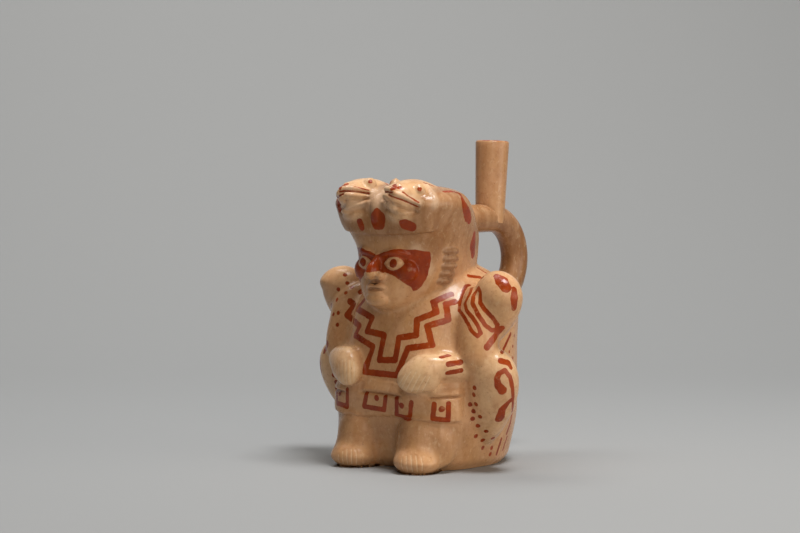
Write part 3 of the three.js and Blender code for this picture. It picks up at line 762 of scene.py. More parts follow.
def as_path(points):
    """A line through points, two of them at least."""
    return points if len(points) > 1 else np.vstack([points, points + 0.01])


# Lines between the fingers and toes of the right paw, left paw, right foot and left foot
FINGER_LINES = (
    [(-69.5, 70.4), (-69.9, 64.4), (-69, 58.1)], [(-66.8, 72.5), (-67, 64.4), (-66.3, 56.3)],
    [(-64.1, 74), (-64.1, 64.4), (-63.6, 55.2)], [(-61.2, 72.9), (-61.1, 64.4), (-60.9, 55.2)],
    [(-58.2, 71.1), (-58, 64.4), (-58.2, 56.3)],
    [(-21.1, 62.6), (-24, 58.1), (-26.2, 53.8)], [(-17.2, 64.4), (-20.8, 58.8), (-23.7, 52.3)],
    [(-13.6, 63.9), (-17.2, 57.4), (-20.8, 50.5)], [(-10.3, 62.4), (-13.9, 55.9), (-17.2, 49.1)],
    [(-6.7, 61), (-10.3, 54.8), (-13.2, 49.1)], [(-3.5, 60.6), (-6.4, 54.8), (-8.9, 50.1)],
    [(-69.4, 4.2), (-70, 0.9), (-69.6, -2.4)], [(-66.4, 6.7), (-66.7, 2), (-66.6, -2.9)],
    [(-63.3, 8.2), (-63.5, 2.9), (-63.3, -3.1)], [(-60.1, 8.2), (-60.1, 2.9), (-60.1, -3.3)],
    [(-56.8, 7.4), (-56.5, 2.3), (-56.5, -3.1)],
    [(-24, 1.6), (-24.2, -3.1), (-23.6, -8.2)], [(-20.6, 3.1), (-20.6, -2.5), (-20.2, -8.7)],
    [(-17.2, 3.6), (-16.8, -2.5), (-16.6, -8.9)], [(-13.6, 3.4), (-13, -2.5), (-12.8, -8.7)],
    [(-10, 2.3), (-9, -3.1), (-8.9, -8.2)])
lip_line = on_face(np.linspace(-11, 11, 12), MOUTH - 0.4 + 0.35 * np.cos(np.linspace(-3.1, 3.1, 12)), 2.2)
philtrum = on_face(np.zeros(4), np.linspace(MOUTH + 3.2, NOSE_BASE - 1, 4), 0.4)
nostrils = both_sides([on_face([2.3, 3.5], [NOSE_BASE + 0.4, NOSE_BASE + 1], 6)])

move = np.zeros(len(places))
groove = np.full(len(places), FAR)


def carve(lines, depth, width, pale=False):
    global move, groove
    for line in lines:
        gap = line_distance(places, line, 0)
        move -= depth * np.exp(-(gap / width) ** 2)
        if pale:
            groove = np.minimum(groove, gap)


for stops in FINGER_LINES:
    carve([line[:, :3] for line in laid(stops)], *FINGER_LINE, True)
carve([lip_line], *LIP_LINE)
carve([philtrum], *PHILTRUM)
carve(nostrils, *NOSTRIL)


def near_line(path, width, reach):
    """1 on a line, falling away to nothing beside it."""
    return np.exp(-(line_distance(places, path, 0, reach) / width) ** 2)


# The animals, as height, width and stroke: a full upper lip over the gap of the mouth, a lower jaw set
# back, the folds under it, a swollen throat and the nostrils; a negative height is sunk
LEFT_ANIMAL = (
    (0.8, 1.5, [(-31.5, 193.6), (-23, 190.4), (-17.6, 187.6), (-12, 185)]),
    (-1.3, 0.9, [(-33.5, 191.1), (-29.5, 189.5), (-23.3, 187.5), (-17.1, 184.8), (-12.2, 182.7)]),
    (-0.7, 3, [(-34, 186.5), (-29.5, 184.6), (-22.1, 182.4), (-16.5, 180.6)]),
    (0.5, 1, [(-33.5, 188.4), (-28.2, 186.2), (-22.1, 183.3), (-16.5, 181.4)]),
    (-0.9, 1.1, [(-33.2, 185.6), (-30.1, 183.5), (-25.8, 181.7), (-19.6, 179.9), (-14.7, 179.3)]),
    (0.9, 1.6, [(-31.3, 181.4), (-27.6, 179.6), (-22.1, 178.6), (-17, 178.8)]),
    (-0.8, 1.2, [(-31.3, 177.6), (-27.6, 175.8), (-22.1, 175.4), (-16.5, 176.7), (-12.8, 178.8)]),
    (0.8, 1.5, [(-26.8, 198.4), (-25.8, 198.6)]),
    (0.7, 1.8, [(-5.4, 198.2), (-1.7, 193.1), (0.8, 188.2), (-0.5, 182.6)]))
RIGHT_ANIMAL = (
    (0.8, 1.5, [(-68, 196), (-64, 196.8), (-57.2, 196.2), (-52.3, 195.3), (-47.4, 194.2)]),
    (-1.3, 0.9, [(-68.4, 193.4), (-64, 194), (-57.2, 193.7), (-52.3, 193), (-47.4, 192.2)]),
    (-0.7, 3, [(-66.5, 188), (-60.3, 188.3), (-54.2, 188.3), (-48.6, 189)]),
    (0.5, 1, [(-67, 190.8), (-60.3, 190.8), (-54.2, 190.4), (-48.6, 190.4)]),
    (-1.1, 1.2, [(-64.5, 185.4), (-60.3, 186.3), (-54.2, 187), (-48.4, 188.6)]),
    (1, 1.5, [(-63.7, 182.9), (-58.5, 183.8), (-52.9, 184.8), (-48.6, 186.4)]),
    (-0.8, 1.2, [(-63.7, 179.8), (-57.9, 179.8), (-51.7, 181.4)]))
for height, width, stops in LEFT_ANIMAL + RIGHT_ANIMAL:
    for line in laid(stops):
        for side in (1, -1):
            move += height * near_line(as_path(line[:, :3] * (side, 1, 1)), width, 3 * width)

# The hood: its lower edge stands out over the brow and down beside the face, its sides are slightly dished
face_side = np.radians(head.turn_of(places) + 90) * FACE_RADIUS
on_head = (np.abs(head.proud(places)) < 6) & (z > HEAD_FOOT + 4)
bow = LEDGE - 1.2 * np.cos(face_side / 16)
ledge = smooth_step(-1.1, 1.1, z - bow) * (1 - smooth_step(2, 16, z - bow))
move += LEDGE_STEP * ledge * on_head * (1 - smooth_step(38, 52, np.abs(face_side)))
hood_edges = both_sides([on_face(np.linspace(48, 46, 14), np.linspace(BROW + 8, NOSE_BASE - 8, 14), 0)])
for line in hood_edges:
    move += HOOD_EDGE[0] * near_line(line, HOOD_EDGE[1], 10)
dished = both_sides([head.surface(np.full(8, -19), np.linspace(BROW + 8, HEAD_TOP - 12, 8))])
for line in dished:
    move -= HOOD_DISH[0] * near_line(line, HOOD_DISH[1], 22) * on_head

# The waist band: a step out of the lower body, with a cut line under the hem of the shirt
turn = body.turn_of(places)
on_belly = smooth_step(4, 1.6, np.abs(body.proud(places))) * (y < 0)
band_ends = smooth_step(-23, -33, turn) * smooth_step(-157, -147, turn)
over_foot = z - BAND_BOTTOM - 1.1 * np.sin(x / 13 + 0.6)
over_top = z - BAND_TOP - 0.7 * np.sin(x / 11 + 2.2)
band = smooth_step(-0.7, 0.9, over_foot) * (1 - 0.75 * smooth_step(-2, 9, over_top)) * (over_top < 9)
hem = np.exp(-over_top ** 2)
shirt = smooth_step(0, 1.4, over_top) * (1 - smooth_step(2, 14, over_top))
paw_gap = np.min([line_distance(places, spline(limb.line, np.linspace(0.4, 1, 12), True), PAW_HALF_DEPTH, 9)
                  for limb in (wrist, right_wrist)], axis=0)
shirt_edge = smooth_step(0, 4, paw_gap) * (SHIRT_STEP * shirt - HEM_DEPTH * hem)
belt = on_belly * band_ends * (BAND_STEP * band + shirt_edge)

# The blending drew the bosses and arms in, so they are filled out again
edges = np.empty(2 * len(skin.data.edges), np.int32)
skin.data.edges.foreach_get('vertices', edges)
edges = edges.reshape(-1, 2)
degree = np.bincount(edges.ravel(), minlength=len(places)).astype(float)


def spread(values, passes):
    """Evens a value out over the surface."""
    for _ in range(passes):
        total = np.bincount(edges[:, 0], values[edges[:, 1]], len(places))
        total += np.bincount(edges[:, 1], values[edges[:, 0]], len(places))
        values = 0.5 * values + 0.5 * total / degree
    return values


fill = HAUNCH_FILL * belongs("haunch") + BOSS_FILL * belongs("shoulder") + ARM_FILL * belongs("upper_arm")
move += spread(fill, FILL_PASSES)

# The tops of the shoulder bosses sit lower, and the right one leans outwards
settle = RIGHT_BOSS_SETTLE * belongs("right_shoulder") + LEFT_BOSS_SETTLE * belongs("left_shoulder")
settle = spread(settle, FILL_PASSES) * smooth_step(110, 132, z)

# The hand-made unevenness of the walls
wave = places / np.array([17.0, 19.0, 23.0])
uneven = (np.sin(wave[:, 0] + 1.3 * np.sin(wave[:, 2] + 0.7)) * np.sin(wave[:, 1] + 0.4)
          + 0.7 * np.sin(1.7 * wave[:, 2] + np.sin(1.3 * wave[:, 0] + 2)))
move += UNEVENNESS * uneven * smooth_step(0, 8, z)
places = places + normals * move[:, None] + unit(places * (1, 1, 0)) * belt[:, None]
lean = spread(belongs("right_shoulder").astype(float), FILL_PASSES) * smooth_step(120, 132, places[:, 2])
places = places - side_way * (RIGHT_BOSS_LEAN * lean)[:, None]
places[:, 2] = np.maximum(places[:, 2] - settle, 0)

# The foot is turned under all round
undercut = UNDERCUT * (1 - np.clip(places[:, 2] / UNDERCUT_HEIGHT, 0, 1)) ** 2
places[:, :2] -= normals[:, :2] * undercut[:, None]
write(skin.data, places)

# Slip painting
skin_tree = tree_of(skin.data)
x, y, z = places.T
slip = np.full(len(places), FAR)


def brush(stops, width=None, mirrored=False, where=None):
    """Paints one stroke of slip; stops are (right, up) with one width, or (right, up, half width)."""
    global slip
    if width is not None:
        stops = [(*stop, width / 2) for stop in stops]
    for line in laid(stops):
        for side in (1, -1) if mirrored else (1,):
            path = line[:, :3] * (side, 1, 1)
            if side < 0:
                path = np.array([skin_tree.find_nearest(p)[0] for p in path])
            path = as_path(path)
            gap = line_distance(places, path, np.resize(line[:, 3], len(path)))
            slip = np.minimum(slip, gap if where is None else np.where(where, gap, FAR))


# Two stepped collars on the chest
COLLARS = (
    [(-61, 115), (-58, 112), (-63, 105), (-54, 97), (-57.5, 90.5), (-44.5, 82), (-50.5, 64), (-27.5, 61.5),
     (-19.5, 81), (-2, 83.5), (-5.5, 97), (9.5, 101.5), (8, 113), (14.5, 114.5)],
    [(-53, 121.5), (-49, 118), (-56, 109.5), (-45, 103), (-49, 93.5), (-36.5, 90.5), (-40, 72.5),
     (-28.5, 72.5), (-26, 88.5), (-13.5, 90.5), (-13, 101.5), (1, 107), (-1, 114.5), (11.5, 120)])
COLLAR_WIDTH = 4
chest = belongs("body", "upper_arm", "shoulder", "forearm")
for stops in COLLARS:
    brush(stops, COLLAR_WIDTH, where=chest)

# Strokes on one side, as width and stops, where no width means that each stop has its own half width:
# the left shoulder and arm, the front of the headdress and the right haunch
ONE_SIDE = (
    (2.3, [(22.5, 126), (20, 121.5), (18, 113.5), (17.5, 108.5), (20, 105), (23.5, 99), (26.5, 93.5),
           (30.5, 89.5), (33, 92), (31, 97), (27.5, 102.5), (22.5, 108.5), (21.5, 113.5), (24.5, 119.5),
           (26.5, 124.5), (24.5, 126.5), (22.5, 126)]),
    (2.6, [(31, 124.5), (27.5, 118.5), (27, 113.5), (31, 105), (36, 98), (40.5, 94), (44, 94), (45, 98),
           (41.5, 103), (36, 108.5), (32.5, 113.5), (32.5, 121.5), (31, 124.5)]),
    (2.8, [(24.5, 133), (34, 132)]),
    (1.4, [(30.5, 139), (37, 135)]),
    (4.4, [(48, 95.5), (37.5, 82)]),
    (1.9, [(54.5, 91.5), (48, 77.5)]),
    (None, [(44, 133.5, 1.8), (48, 129.5, 4.3), (51, 125, 3.6)]),
    (None, [(57, 123.5, 1.7), (57.2, 117, 2.8), (57, 110, 1.9)]),
    *((None, [(-41.6, 181, 0.8), (-41.2 + aside, 174.6, 4.1), (-40.6 + aside * 0.7, 170.4, 3.6)])
      for aside in (-2.2, 0, 2.2)),
    (None, [(-54, 172, 2.3), (-52.5, 168, 2.2)]),
    (None, [(-22, 170.5, 3.6), (-17, 168.5, 3.4)]),
    (None, [(-69.8, 189.6, 1.8), (-69.6, 185.5, 3), (-68.4, 180.5, 1.8)]),
    (None, [(-79.4, 79, 1.8), (-77.6, 84, 2.4)]))
for width, stops in ONE_SIDE:
    brush(stops, width)

# Strokes on both sides: the sides of the headdress, the wrists and the haunches
BOTH_SIDES = (
    (2.5, [(6.5, 193.6), (12, 194), (17.4, 192.4), (20.5, 187.5)]),
    (None, [(19.5, 188.5, 1.4), (21.6, 182.5, 3.6), (23.8, 176, 4.2), (24.8, 173.5, 3)]),
    (None, [(28.2, 163, 2), (27.2, 155.5, 4.4), (27.4, 149, 3.2)]),
    (None, [(4.5, 74.5, 1.2), (10, 76, 1.6)]),
    (3.4, [(9.5, 69.5), (18.5, 71)]),
    (2.8, [(9, 63), (19, 65)]),
    (None, [(47.5, 72, 2), (53, 70.5, 2), (54.5, 67.5, 1.5)]),
    (None, [(50.5, 65, 1.5), (46.5, 63, 1.7), (44.6, 59.5, 1.8), (45.4, 54.5, 2.4), (48.5, 50.5, 3)]),
    (None, [(50.5, 65, 1.5), (54, 60.5, 1.5), (56, 52, 1.5), (56.3, 45, 1.3)]),
    (None, [(56.2, 45, 1.2), (52.5, 41.5, 1.6), (48.5, 36.5, 2.5), (46.8, 30, 3.2)]),
    (1.9, [(56.3, 45), (56, 36.5), (54.4, 27), (51.8, 19.5)]),
    (1.9, [(48, 15.5), (44.5, 4.5)]),
    (1.2, [(52, 17), (49, 7.5)]))
for width, stops in BOTH_SIDES:
    brush(stops, width, True)

# The motifs of the belt, each with its dot
BELT_WIDTH = 3.1
BELT_DOT = 3.8
BELT_MOTIFS = (
    ([(-70.5, 52), (-70.5, 41.5), (-63, 39), (-63, 51)], (-68.5, 48.5)),
    ([(-49, 48.5), (-51, 39), (-36.5, 36.5), (-35.5, 46)], (-42, 45)),
    ([(-27.5, 45), (-27.5, 32.5), (-18, 30), (-17, 42)], (-24, 39.5)),
    ([(-0.5, 40.5), (-1.5, 30), (9.5, 29), (10, 41)], (5, 37)))
for motif, dot in BELT_MOTIFS:
    brush(motif, BELT_WIDTH)
    brush([dot], BELT_DOT)

# Dots: on the left arm, the right shoulder and, on both sides, the hips
ARM_DOTS = ((57, 90), (56, 82.5), (53.5, 78.5), (56, 74))
SHOULDER_DOTS = ((-64.5, 134), (-63, 128), (-64, 121), (-69.5, 123.5), (-70.5, 116), (-74.5, 112),
                 (-73, 105.5), (-69.5, 106.5), (-70, 98), (-55, 133), (-59.5, 125))
HIP_DOTS = ((28.5, 52.5), (28, 47.5), (25.5, 40.5), (29.5, 40.5), (28, 35.5), (27, 30), (32.5, 31.5),
            (31, 25), (37, 21), (29.5, 17.5), (34.5, 14.5), (34.5, 9), (42, 16), (41, 9), (40, 4.5))
for dots, width, mirrored in ((ARM_DOTS, 1.8, False), (SHOULDER_DOTS, 2.6, False), (HIP_DOTS, 2.9, True)):
    for dot in dots:
        brush([dot], width, mirrored)

# Animal heads: thin lines along the lips and over the crown, pupils, dabs on the snout
ANIMAL_STROKES = (
    (0.7, [(-33.2, 191.4), (-29.5, 189.8), (-23.3, 187.7), (-17.1, 185), (-12.2, 182.9)]),
    (0.45, [(-23, 193.2), (-18.4, 189.9), (-11.8, 185.9)]),
    (0.7, [(-68.2, 193.7), (-64, 194.2), (-57.2, 193.9), (-52.3, 193.2), (-47.4, 192.4)]),
    (0.45, [(-57.8, 197.4), (-52.9, 196), (-47.4, 194.7)]),
    (2.4, [(-30.9, 195.6), (-27.8, 196.6), (-24.8, 196.5)]),
    (2.4, [(-68, 196.4), (-66, 197.8), (-63, 199)]),
    (1.1, [(-7.9, 200), (-1.1, 197.6)]),
    (1.1, [(-3, 199.8), (3.2, 196.6)]),
    (1.1, [(-36.3, 200.4), (-32, 197.4)]))
for width, stops in ANIMAL_STROKES:
    brush(stops, width, True)
for eye in animal_eyes:
    for side in (1, -1):
        pupil = (eye + eye_way(eye) * ANIMAL_EYE_RADIUS) * (side, 1, 1)
        slip = np.minimum(slip, np.linalg.norm(places - pupil, axis=1) - ANIMAL_PUPIL)


# Face paint of the plain face: a band over the eyes and the bridge of the nose, a wedge down each cheek
def outline_distance(across, up, corners):
    """Distance of each point from a closed outline, negative inside."""
    corners = np.array(corners, float)
    points = np.stack([across, up], 1)
    best = np.full(len(points), FAR)
    inside = np.zeros(len(points), bool)
    for a, b in zip(corners, np.roll(corners, -1, axis=0)):
        way = b - a
        share = np.clip((points - a) @ way / max(way @ way, 1e-9), 0, 1)
        best = np.minimum(best, np.linalg.norm(points - a - share[:, None] * way, axis=1))
        crosses = (a[1] > up) != (b[1] > up)
        with np.errstate(divide='ignore', invalid='ignore'):
            inside ^= crosses & (across < (b[0] - a[0]) * (up - a[1]) / (b[1] - a[1]) + a[0])
    return np.where(inside, -best, best)


face_points = belongs("head_front_shell") & (z < BROW + 8) & (y < -30)
aside = np.radians(head.turn_of(places) + 90) * FACE_RADIUS
mask = outline_distance(np.abs(aside), z, [
    (-1, BROW - 1), (5, BROW + 1.5), (EYE_APART, BROW + 4), (28, BROW + 3.5), (40, BROW + 2),
    (41, BROW - 2), (41, EYE - 10), (39.5, MOUTH + 2.5), (37.5, MOUTH - 0.5), (35, MOUTH - 1),
    (32, MOUTH + 1.5), (14, EYE - 8), (7, EYE - 6), (5, NOSE_BASE + 7), (-1, NOSE_BASE + 6)])
lens = np.hypot(aside - np.sign(aside) * EYE_APART, np.abs(z - EYE) + 5.2) - 10.4
iris = np.hypot(np.abs(aside) - EYE_APART, z - EYE - 0.2) - 2.9
paint = np.minimum(np.maximum(mask, -lens - 0.2), iris)
slip = np.where(face_points, np.minimum(slip, paint), slip)

# Paler slip on the paws, bosses and animals; a chalky bloom and painted highlight on what stands out, as
# reach and stroke
BLOOM_AND_HIGHLIGHT = (
    (5, [(-35.6, 194.9), (-40.6, 188.8), (-41.8, 183.2)]),
    (3, [(-5.4, 198.2), (-1.7, 193.1), (0.8, 188.2), (-0.5, 182.6)]),
    (4, [(-63.7, 182.9), (-58.5, 183.8), (-52.9, 184.8)]),
    (3.5, [(-25, 191.5), (-17.6, 188), (-12, 185.2)]),
    (5, [(14, 124), (17, 118), (15, 108)]),
    (5, [(-14, 152), (-8, 146), (-5, 138)]))
cream = 0.9 * belongs("forearm", "haunch") + 0.85 * belongs("animal") + 0.3 * belongs("shoulder")
cream = spread(cream, 40)
bloom = np.zeros(len(places))
for reach, stops in BLOOM_AND_HIGHLIGHT:
    for line in laid(stops):
        for side in (1, -1):
            bloom = np.maximum(bloom, near_line(as_path(line[:, :3]) * (side, 1, 1), reach, 2.5 * reach))

# Brown in the locks and round the animals' eyes, painted shade in hollows and creases, smoke on the stirrup
# that is partly painted shade, and painted shade on the hood and the shins
umber = belongs("hair_lock").astype(float)
for eye in animal_eyes:
    for side in (1, -1):
        umber += 0.45 * smooth_step(6.5, 4.2, np.linalg.norm(places - eye * (side, 1, 1), axis=1))
umber = spread(umber, 6)
normals = read_normals(skin.data)
# Painted shade: darker in small hollows and in the creases between the larger forms
around = np.stack([spread(places[:, axis], 5) for axis in range(3)], 1)
hollow = spread(np.einsum('ij,ij->i', around - places, normals), 2)
wide_around = np.stack([spread(places[:, axis], 90) for axis in range(3)], 1)
crease = spread(np.einsum('ij,ij->i', wide_around - places, normals), 4)
# Smoke on the stirrup, partly painted shade; painted shade on the hood above the brow and on the shins
# under the band
smoke = belongs("stirrup_rear") + 0.8 * belongs("stirrup_front")
beside = smooth_step(-66, -50, head.turn_of(places))
hood_shade = 0.7 * smooth_step(BROW + 4 - 16 * beside, BROW + 16 - 8 * beside, z)
shin_shade = smooth_step(14, 22, z) * smooth_step(BAND_BOTTOM, BAND_BOTTOM - 6, z)
smoke = smoke + hood_shade * belongs("head_front", "head_back")
smoke = smoke + 0.4 * shin_shade * belongs("foot", "body_front") * (y < -30)
smoke = spread(smoke, 60)

for name, values in (("slip", slip), ("cream", cream), ("umber", umber), ("groove", groove),
                     ("hollow", hollow), ("crease", crease), ("smoke", smoke), ("bloom", bloom)):
    keep(skin.data, name, values)
skin.data.attributes.new("skin_normal", 'FLOAT_VECTOR', 'POINT').data.foreach_set(
    'vector', normals.astype(np.float32).ravel())


# Materials: burnished clay, its colour led by the painted values
def node(tree, kind, **settings):
    made = tree.nodes.new(kind)
    for name, value in settings.items():
        if name.startswith("in_"):
            key = name[3:]
            made.inputs[int(key) if key.isdigit() else key.replace("_", " ")].default_value = value
        else:
            setattr(made, name, value)
    return made


def blended(tree, factor, first, second, kind='MIX'):
    """Mix of two colours; each is a socket or a plain colour."""
    mix = node(tree, 'ShaderNodeMix', data_type='RGBA', blend_type=kind, clamp_factor=True)
    for socket, value in ((mix.inputs[0], factor), (mix.inputs[6], first), (mix.inputs[7], second)):
        if isinstance(value, bpy.types.NodeSocket):
            tree.links.new(value, socket)
        else:
            socket.default_value = value
    return mix.outputs[2]


def ranged(tree, value, low, high, to_low=0.0, to_high=1.0):
    step = node(tree, 'ShaderNodeMapRange', interpolation_type='SMOOTHSTEP', clamp=True)
    tree.links.new(value, step.inputs[0])
    for index, number in ((1, low), (2, high), (3, to_low), (4, to_high)):
        step.inputs[index].default_value = number
    return step.outputs[0]


def clay(name):
    material = bpy.data.materials.new(name)
    material.use_nodes = True
    tree = material.node_tree
    links = tree.links
    shader = tree.nodes["Principled BSDF"]
    where = node(tree, 'ShaderNodeTexCoord').outputs['Object']

    def attribute(key):
        return node(tree, 'ShaderNodeAttribute', attribute_name=key).outputs['Fac']

    def noise(scale, detail=3.0, rough=0.55, stretch=(1, 1, 1)):
        mapping = node(tree, 'ShaderNodeMapping')
        mapping.inputs['Scale'].default_value = stretch
        links.new(where, mapping.inputs['Vector'])
        made = node(tree, 'ShaderNodeTexNoise', in_Scale=scale, in_Detail=detail, in_Roughness=rough)
        links.new(mapping.outputs['Vector'], made.inputs['Vector'])
        return made.outputs[0]

    broad = noise(22, 4)
    middle = noise(65, 4, 0.6)
    stain = noise(38, 5, 0.7, (1, 1, 0.5))
    fine = noise(260, 4, 0.6)
    strokes = noise(120, 3, 0.6, (1, 1, 0.14))
    grains = noise(620, 3, 0.6)
    scuffs = noise(340, 3, 0.65, (1, 1, 0.6))

    def share(value, low, high, most):
        return ranged(tree, value, low, high, 0, most)

    ground = blended(tree, attribute("cream"), BUFF, CREAM)
    for factor, tint, kind in (
            (share(middle, 0.36, 0.66, 0.5), ROSY, 'MIX'),
            (share(attribute("umber"), 0.1, 1, 0.75), UMBER, 'MIX'),
            (share(broad, 0.42, 0.7, 0.45), SMOKED, 'MULTIPLY'),
            # smoke on the stirrup and spout, partly painted shade; painted shade on the hood and the shins
            (attribute("smoke"), SOOT_AND_SHADE, 'MULTIPLY'),
            (share(stain, 0.52, 0.7, 0.5), SMOKED, 'MULTIPLY'),
            (share(strokes, 0.35, 0.7, 0.32), BURNISHED, 'MIX'),
            (share(fine, 0.45, 0.7, 0.6), DUSTY, 'MULTIPLY'),
            (share(scuffs, 0.55, 0.72, 0.24), PALE, 'MIX'),
            (share(grains, 0.64, 0.72, 0.6), SPECK, 'MULTIPLY'),
            # painted shade in hollows and creases
            (share(attribute("hollow"), 0.05, 0.35, 0.6), PAINTED_SHADE, 'MULTIPLY'),
            (share(attribute("crease"), 0.6, 3.4, 0.22), PAINTED_SHADE, 'MULTIPLY'),
            # chalky bloom and painted highlight on what stands out
            (share(attribute("bloom"), 0.05, 1, 0.4), CHALKY_AND_HIGHLIGHT, 'MIX'),
            (share(attribute("groove"), 0.5, 0.15, 0.6), PALE, 'MIX')):
        ground = blended(tree, factor, ground, tint, kind)

    wobble = node(tree, 'ShaderNodeMath', operation='MULTIPLY_ADD')
    links.new(fine, wobble.inputs[0])
    wobble.inputs[1].default_value = 1.6
    links.new(attribute("slip"), wobble.inputs[2])
    paint = ranged(tree, wobble.outputs[0], 1.3, 0.9)
    worn = ranged(tree, noise(190, 5, 0.7), 0.58, 0.76, 1, 0.55)
    cover = node(tree, 'ShaderNodeMath', operation='MULTIPLY')
    links.new(paint, cover.inputs[0])
    links.new(worn, cover.inputs[1])
    red = blended(tree, ranged(tree, noise(75, 4, 0.6), 0.35, 0.7), SLIP_DARK, SLIP_RED)
    red = blended(tree, share(strokes, 0.4, 0.75, 0.35), red, SLIP_THIN)
    links.new(blended(tree, cover.outputs[0], ground, red), shader.inputs['Base Color'])
    links.new(ranged(tree, noise(55, 4, 0.6), 0.3, 0.72, 0.2, 0.34), shader.inputs['Roughness'])
    shader.inputs['Specular IOR Level'].default_value = 0.26

    bump = node(tree, 'ShaderNodeBump', in_Strength=0.26, in_Distance=0.0007)
    links.new(fine, bump.inputs['Height'])
    pits = node(tree, 'ShaderNodeBump', in_Strength=0.2, in_Distance=0.0006)
    links.new(strokes, pits.inputs['Height'])
    links.new(bump.outputs['Normal'], pits.inputs['Normal'])
    links.new(pits.outputs['Normal'], shader.inputs['Normal'])
    return material


BUFF = (0.58, 0.31, 0.138, 1)
CREAM = (0.76, 0.49, 0.265, 1)
UMBER = (0.24, 0.115, 0.055, 1)
SMOKED = (0.74, 0.68, 0.62, 1)
# Smoke colour, also used for painted shade
SOOT_AND_SHADE = (0.47, 0.40, 0.34, 1)
BURNISHED = (0.66, 0.40, 0.23, 1)
ROSY = (0.60, 0.315, 0.165, 1)
DUSTY = (0.82, 0.74, 0.66, 1)
SPECK = (0.55, 0.42, 0.34, 1)
# Painted shade in hollows and creases
PAINTED_SHADE = (0.52, 0.40, 0.31, 1)
PALE = (0.80, 0.60, 0.38, 1)
# Chalky bloom and painted highlight
CHALKY_AND_HIGHLIGHT = (0.78, 0.56, 0.38, 1)
SLIP_RED = (0.35, 0.048, 0.005, 1)
SLIP_DARK = (0.24, 0.029, 0.004, 1)
SLIP_THIN = (0.40, 0.090, 0.020, 1)

slots = {name: clay(name) for name in ("buff_clay", "cream_clay", "umber_clay")}


def slot_of(name):
    if "hair_lock" in name:
        return "umber_clay"
    if any(part in name for part in ("forearm", "foot", "boss", "animal")):
        return "cream_clay"
    return "buff_clay"


# The skin comes apart into one shell for each solid
corners = np.array([tuple(face.vertices)[:3] + (tuple(face.vertices)[-1],) for face in skin.data.polygons])
middles = places[corners].mean(1)
face_owner = np.array([solid_owner[solid_tree.find_nearest(p)[2]] for p in middles])

# A hole under the spout's bore
from_bore = np.hypot(middles[:, 0], middles[:, 1] - SPOUT_SETBACK)
face_owner[(middles[:, 2] > STIRRUP_TOP) & (from_bore < BORE_RADIUS)] = -1

only(skin)
skin.data.materials.clear()
for name in names:
    skin.data.materials.append(slots[slot_of(name)])
skin.data.materials.append(slots["buff_clay"])
part_index = np.where(face_owner < 0, len(names), face_owner).astype(np.int32)
skin.data.polygons.foreach_set('material_index', part_index)
skin.data.polygons.foreach_set('use_smooth', np.ones(len(face_owner), bool))
skin.data.update()


def thickened(piece):
    """Gives a skin its thickness inwards and keeps the unbroken skin's normals on its outer side."""
    outer = len(piece.data.vertices)
    modify(piece, 'SOLIDIFY', thickness=CLAY_THICKNESS / 1000, offset=-1, use_rim=True)
    count = len(piece.data.vertices)
    above_floor = read(piece.data)
    above_floor[:, 2] = np.maximum(above_floor[:, 2], 0)
    write(piece.data, above_floor)
    triangles = 2 * len(piece.data.polygons)
    if triangles > MOST_TRIANGLES:
        # Only the hidden inner wall of the largest piece is thinned out
        piece.vertex_groups.new(name="inner_wall").add(list(range(outer, count)), 1, 'REPLACE')
        modify(piece, 'DECIMATE', ratio=MOST_TRIANGLES / triangles, vertex_group="inner_wall")
        piece.vertex_groups.clear()
        count = len(piece.data.vertices)
    flat = np.empty(3 * count, np.float32)
    piece.data.attributes["skin_normal"].data.foreach_get('vector', flat)
    outward = flat.reshape(-1, 3)
    outward[outer:] *= -1
    piece.data.normals_split_custom_set_from_vertices([tuple(row) for row in outward])
    piece.data.attributes.remove(piece.data.attributes["skin_normal"])


skin.data.attributes.new("solid", 'INT', 'FACE').data.foreach_set('value', face_owner.astype(np.int32))
before = set(bpy.data.objects) - {skin}
only(skin)
editing(True)
bpy.ops.mesh.separate(type='MATERIAL')
editing(False)


def solid_index(piece):
    return piece.data.attributes["solid"].data[0].value


made = []
for piece in sorted(set(bpy.data.objects) - before, key=solid_index):
    index = solid_index(piece)
    if index < 0:
        bpy.data.objects.remove(piece)
        continue
    name = names[index]
    piece.name = f"clay_{name}"
    piece.data.name = piece.name
    piece.data.materials.clear()
    piece.data.materials.append(slots[slot_of(name)])
    piece.data.polygons.foreach_set('material_index', np.zeros(len(piece.data.polygons), np.int32))
    piece.data.attributes.remove(piece.data.attributes["solid"])
    thickened(piece)
    made.append((piece, name, slot_of(name)))


